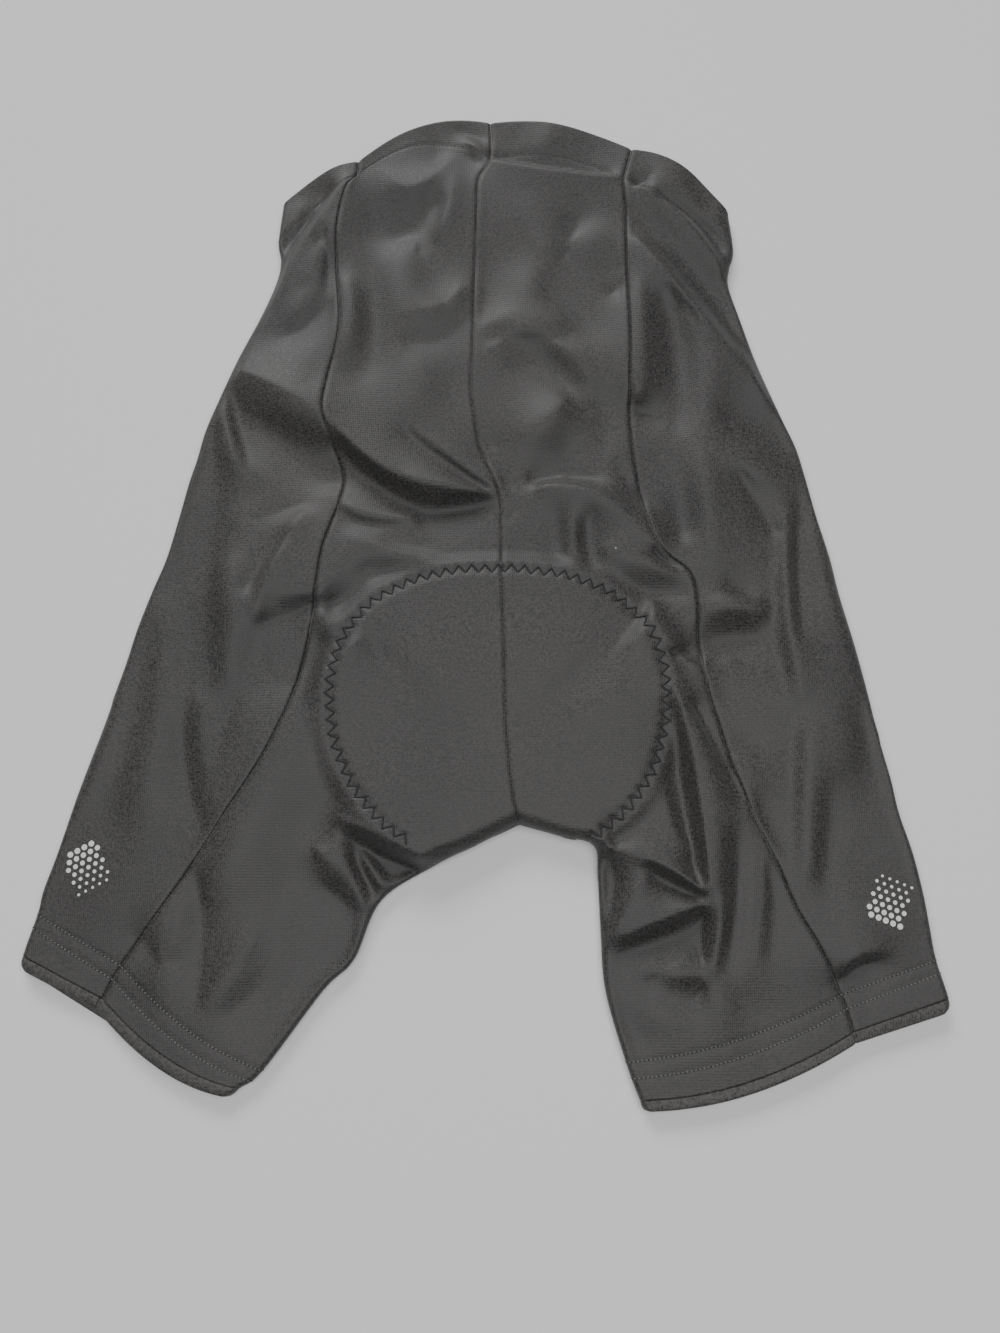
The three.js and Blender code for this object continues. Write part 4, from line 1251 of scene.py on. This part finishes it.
def row_on_section(half, s, pitch, stretches=RING, offset=0.0):
    """Evenly spaced places along section s: centres, tangents and normals."""
    near = np.array([s - ROW_PROBE, s, s + ROW_PROBE])
    columns = {name: ROW_COLUMNS for name in RING}
    points = panel_points(half, stretches, near, columns, gap=0.0)
    normals = grid_normals(points, half)[1]
    line = points[1]
    arc = arc_lengths(line)
    at = np.arange(pitch / 2 + offset, arc[-1], pitch)
    normal = points_at(at, arc, normals)
    along_row = points_at(at + LOOK_ALONG, arc, line) - points_at(at - LOOK_ALONG, arc, line)
    return points_at(at, arc, line), along_row, normal / np.linalg.norm(normal, axis=1, keepdims=True)


STITCH_PITCH = 2.3
FLOOR_CLEAR = 0.35
# name, start along the row, lift, length, radius, thread
HEM_THREADS = (
    ("stitches", 0.0, 0.14, 1.4, 0.38, GREY_THREAD),
    # the dark thread of these lower capsules is painted shade where the thread sinks into the cloth
    ("shaded_dips", STITCH_PITCH / 2, 0.04, 0.9, 0.42, DARK_THREAD),
)
for half in HALVES:
    for label, s in (("upper", HEM_LINE), ("lower", SECOND_NEEDLE)):
        for kind, offset, lift, length, radius, thread in HEM_THREADS:
            centres, tangents, normals = row_on_section(half, s, STITCH_PITCH, offset=offset)
            above = centres[:, 2] > FLOOR_CLEAR
            rows = [values[above] for values in (centres + normals * lift, tangents, normals)]
            piece = stitch_row(f"hem_{kind}_{label}_{half}", *rows, length, radius)
            finish(piece, thread, "dark_thread")
        print(piece.name, len(rows[0]), "stitches")

# %% Casing row and leg band row
ROW_LIFT, ROW_RADIUS = 0.1, 0.22
# name, section, pitch, stitch length
TOP_ROWS = (
    ("casing", CASING_LINE, 2.6, 1.7),
    ("band", GRIP_LINE - 0.06, 1.6, 0.9),
)
for half in HALVES:
    for label, s, pitch, length in TOP_ROWS:
        centres, tangents, normals = row_on_section(half, s, pitch, ("back", "side"))
        lifted = centres + normals * ROW_LIFT
        piece = stitch_row(f"{label}_stitches_{half}", lifted, tangents, normals, length, ROW_RADIUS)
        finish(piece, DULL_THREAD, "dark_thread")

# %% Places on the finished cloth
RAY_HEIGHT, RAY_ASIDE = 60.0, 0.2
CLOTH = [BVHTree.FromObject(panels[panel, half], bpy.context.evaluated_depsgraph_get())
         for half in HALVES for panel in ("back", "side")]


def on_cloth(x, y):
    """Top of the cloth over each place, or nan beside it; two rays, as one may slip between panels."""
    top = []
    for place in to_frame(np.stack([x, y, np.full(len(x), RAY_HEIGHT)], 1)):
        starts = [Vector(place) + Vector((aside, 0, 0)) for aside in (-RAY_ASIDE * MM, RAY_ASIDE * MM)]
        hits = [tree.ray_cast(start, Vector((0, 0, -1)))[0] for tree in CLOTH for start in starts]
        top.append(max([hit.z for hit in hits if hit is not None], default=math.nan) / MM)
    return np.stack([x, y, np.array(top)], 1)


# %% Zigzag thread
STEPS_PER_LEG = 6
EDGE_CLEAR = 1.5
THREAD_LIFT, THREAD_RADIUS = 0.2, 0.48
fine = np.linspace(0, len(ZIGZAG) - 1, (len(ZIGZAG) - 1) * STEPS_PER_LEG + 1)
zigzag_flat = points_at(fine, np.arange(len(ZIGZAG)), ZIGZAG)
inside = edge_distance(zigzag_flat[:, 0], zigzag_flat[:, 1]) > EDGE_CLEAR
zigzag_line = on_cloth(*zigzag_flat[inside].T) + [0, 0, THREAD_LIFT]
zigzag_line = zigzag_line[np.isfinite(zigzag_line[:, 2])]
finish(thread_tube("pad_zigzag_thread", zigzag_line, THREAD_RADIUS), DARK_THREAD, "dark_thread")
print("zigzag points", len(zigzag_line))

# %% Centre seam thread
SEAM_TOP, SEAM_BOTTOM, SEAM_POINTS = 11.6, 16.8, 400
SEAM_PITCH, SEAM_LENGTH, SEAM_RADIUS = 2.2, 1.2, 0.28
SEAM_ASIDE, SEAM_LIFT = 0.25, 0.1
seam_s = np.linspace(SEAM_TOP, SEAM_BOTTOM, SEAM_POINTS)
seam_points = lay("right", "back", seam_s, np.zeros(SEAM_POINTS) + 0.001, 0.0)
arc = arc_lengths(seam_points)
at = np.arange(1, arc[-1] - 1, SEAM_PITCH)
centres = points_at(at, arc, seam_points) + [SEAM_ASIDE, 0, SEAM_LIFT]
tangents = np.gradient(centres, axis=0)
upwards = np.tile([0.0, 0.0, 1.0], (len(at), 1))
seam_thread = stitch_row("centre_seam_stitches", centres, tangents, upwards, SEAM_LENGTH, SEAM_RADIUS)
finish(seam_thread, DARK_THREAD, "dark_thread")
print("centre seam stitches", len(at))

# %% [markdown]
# ## Reflective dots
# Near each leg edge there is a plain block of reflective dots, as on many safety prints. The dots are thin
# round discs, pressed on with heat, so they lie right on the knit. Their height is found by dropping a ray
# on the cloth.

# %% Dot print
def print_material():
    """Pale reflective print with a fine glass-bead sparkle."""
    material, tree, shader = new_material("reflective print")
    beads = placed(tree, KNIT_LOOPS, Loops_per_metre=5200.0, Grain=0.9)
    tone = blend_colour(tree, beads.outputs["Fleck"], (0.66, 0.67, 0.64), (0.82, 0.83, 0.8))
    tree.links.new(tone, shader.inputs["Base Color"])
    small_bump(tree, shader, beads.outputs["Height"], 0.15, 0.0001)
    shader.inputs["Roughness"].default_value = 0.45
    return material


REFLECTIVE = print_material()
PRINT_PLACES = {"left": (-213, -166, -62), "right": (219, -183, 68)}
DOT_PITCH, DOT_ROWS, DOT_COLUMNS, DOT_SIDES = 4.2, 7, 5, 16
DOT_RADIUS, DOT_SHRINK, ROW_SPACING = 1.6, 0.14, 0.87
DOT_SUNK, DOT_PROUD = 0.1, 0.16
PRINT_MARGIN = 5


def dot_print(half):
    """Staggered block of discs, turned to lie along the leg; each dot smaller towards the top."""
    centre_x, centre_y, turn = PRINT_PLACES[half]
    cos, sin = math.cos(math.radians(turn)), math.sin(math.radians(turn))
    angle = np.arange(DOT_SIDES) * 2 * math.pi / DOT_SIDES
    points, faces = [], []
    for row in range(DOT_ROWS):
        radius = DOT_RADIUS - DOT_SHRINK * row
        for column in range(DOT_COLUMNS):
            u = (row - (DOT_ROWS - 1) / 2) * DOT_PITCH * ROW_SPACING
            v = (column - (DOT_COLUMNS - 1) / 2 + 0.5 * (row % 2) - 0.25) * DOT_PITCH
            rim_u, rim_v = u + radius * np.cos(angle), v + radius * np.sin(angle)
            x, y = centre_x + rim_u * cos - rim_v * sin, centre_y + rim_u * sin + rim_v * cos
            if edge_distance(x, y).min() < PRINT_MARGIN:
                continue
            lower = on_cloth(x, y)
            first = len(points) * DOT_SIDES
            upper = first + DOT_SIDES
            points += [lower + [0, 0, -DOT_SUNK], lower + [0, 0, DOT_PROUD]]
            ahead = [(j + 1) % DOT_SIDES for j in range(DOT_SIDES)]
            faces += [(first + j, first + k, upper + k, upper + j) for j, k in enumerate(ahead)]
            faces += [tuple(range(upper - 1, first - 1, -1)), tuple(range(upper, upper + DOT_SIDES))]
    return new_piece(f"reflective_dots_{half}", np.concatenate(points), faces, smooth_shade=False)


dots = {half: finish(dot_print(half), REFLECTIVE, "reflective_print") for half in HALVES}
print("dot prints:", [piece.name for piece in dots.values()])

# %% [markdown]
# ## Area of the cloth
# The area of one face of each leg band is taken from its mesh. The flat size of each cut is only an
# estimate, and the lengths come out too short: as they lie, the backs are 0.58 m long, and the sides and
# fronts 0.51 to 0.53 m.


def mesh_area(piece):
    return sum(polygon.area for polygon in piece.data.polygons) / 2


for half, piece in bands.items():
    print(piece.name, "one face", round(mesh_area(piece), 5))

# %% [markdown]
# ## Floor, light and camera
# The photograph looks down at the shorts from the hem side, twelve degrees off the vertical. A pale floor
# and a large softbox overhead keep the shadows open. A wide, low light beyond the waist, a little to the
# left, models the folds: slopes that face it are bright, and those that face the hem are dark.

# %% Floor
def pale_floor():
    bpy.ops.mesh.primitive_plane_add(size=8, location=(0, 0, -0.0002))
    floor = bpy.context.object
    floor.name = "floor"
    material, _, shader = new_material("pale floor")
    shader.inputs["Base Color"].default_value = (0.85, 0.85, 0.85, 1)
    shader.inputs["Roughness"].default_value = 0.9
    floor.data.materials.append(material)
    return floor


floor = pale_floor()


# %% Lights
def softbox(name, place, aim, size, power):
    light = bpy.data.lights.new(name, "AREA")
    light.shape = "RECTANGLE"
    light.size, light.size_y = size
    light.energy = power
    lamp = bpy.data.objects.new(name, light)
    bpy.context.scene.collection.objects.link(lamp)
    lamp.location = place
    direction = np.array(aim) - np.array(place)
    lamp.rotation_euler = (
        math.atan2(math.hypot(direction[0], direction[1]), -direction[2]), 0,
        math.atan2(direction[1], direction[0]) - math.pi / 2)
    return lamp


softbox("overhead softbox", (0.1, -0.35, 1.7), (0.05, -0.2, 0), (2.4, 1.3), 24)
softbox("window", (-0.9, 3.0, 1.7), (0, 0, 0), (2.4, 1.3), 88)
world = bpy.data.worlds.new("studio")
world.use_nodes = True
world.node_tree.nodes["Background"].inputs["Color"].default_value = (1, 1, 1, 1)
world.node_tree.nodes["Background"].inputs["Strength"].default_value = 0.1
bpy.context.scene.world = world

# %% Camera
sight = np.array([0, -math.sin(TILT), math.cos(TILT)])
camera_data = bpy.data.cameras.new("camera")
camera_data.sensor_fit = "VERTICAL"
camera_data.sensor_height = 36
camera_data.lens = FOCAL_PIXELS / PHOTO_HEIGHT * camera_data.sensor_height
camera = bpy.data.objects.new("camera", camera_data)
bpy.context.scene.collection.objects.link(camera)
camera.location = to_frame(np.array(AIM) + sight * AIM_DISTANCE)
camera.rotation_euler = (TILT, 0, 0)
bpy.context.scene.camera = camera
print("camera at", [round(v, 3) for v in camera.location], "lens", round(camera_data.lens, 1))
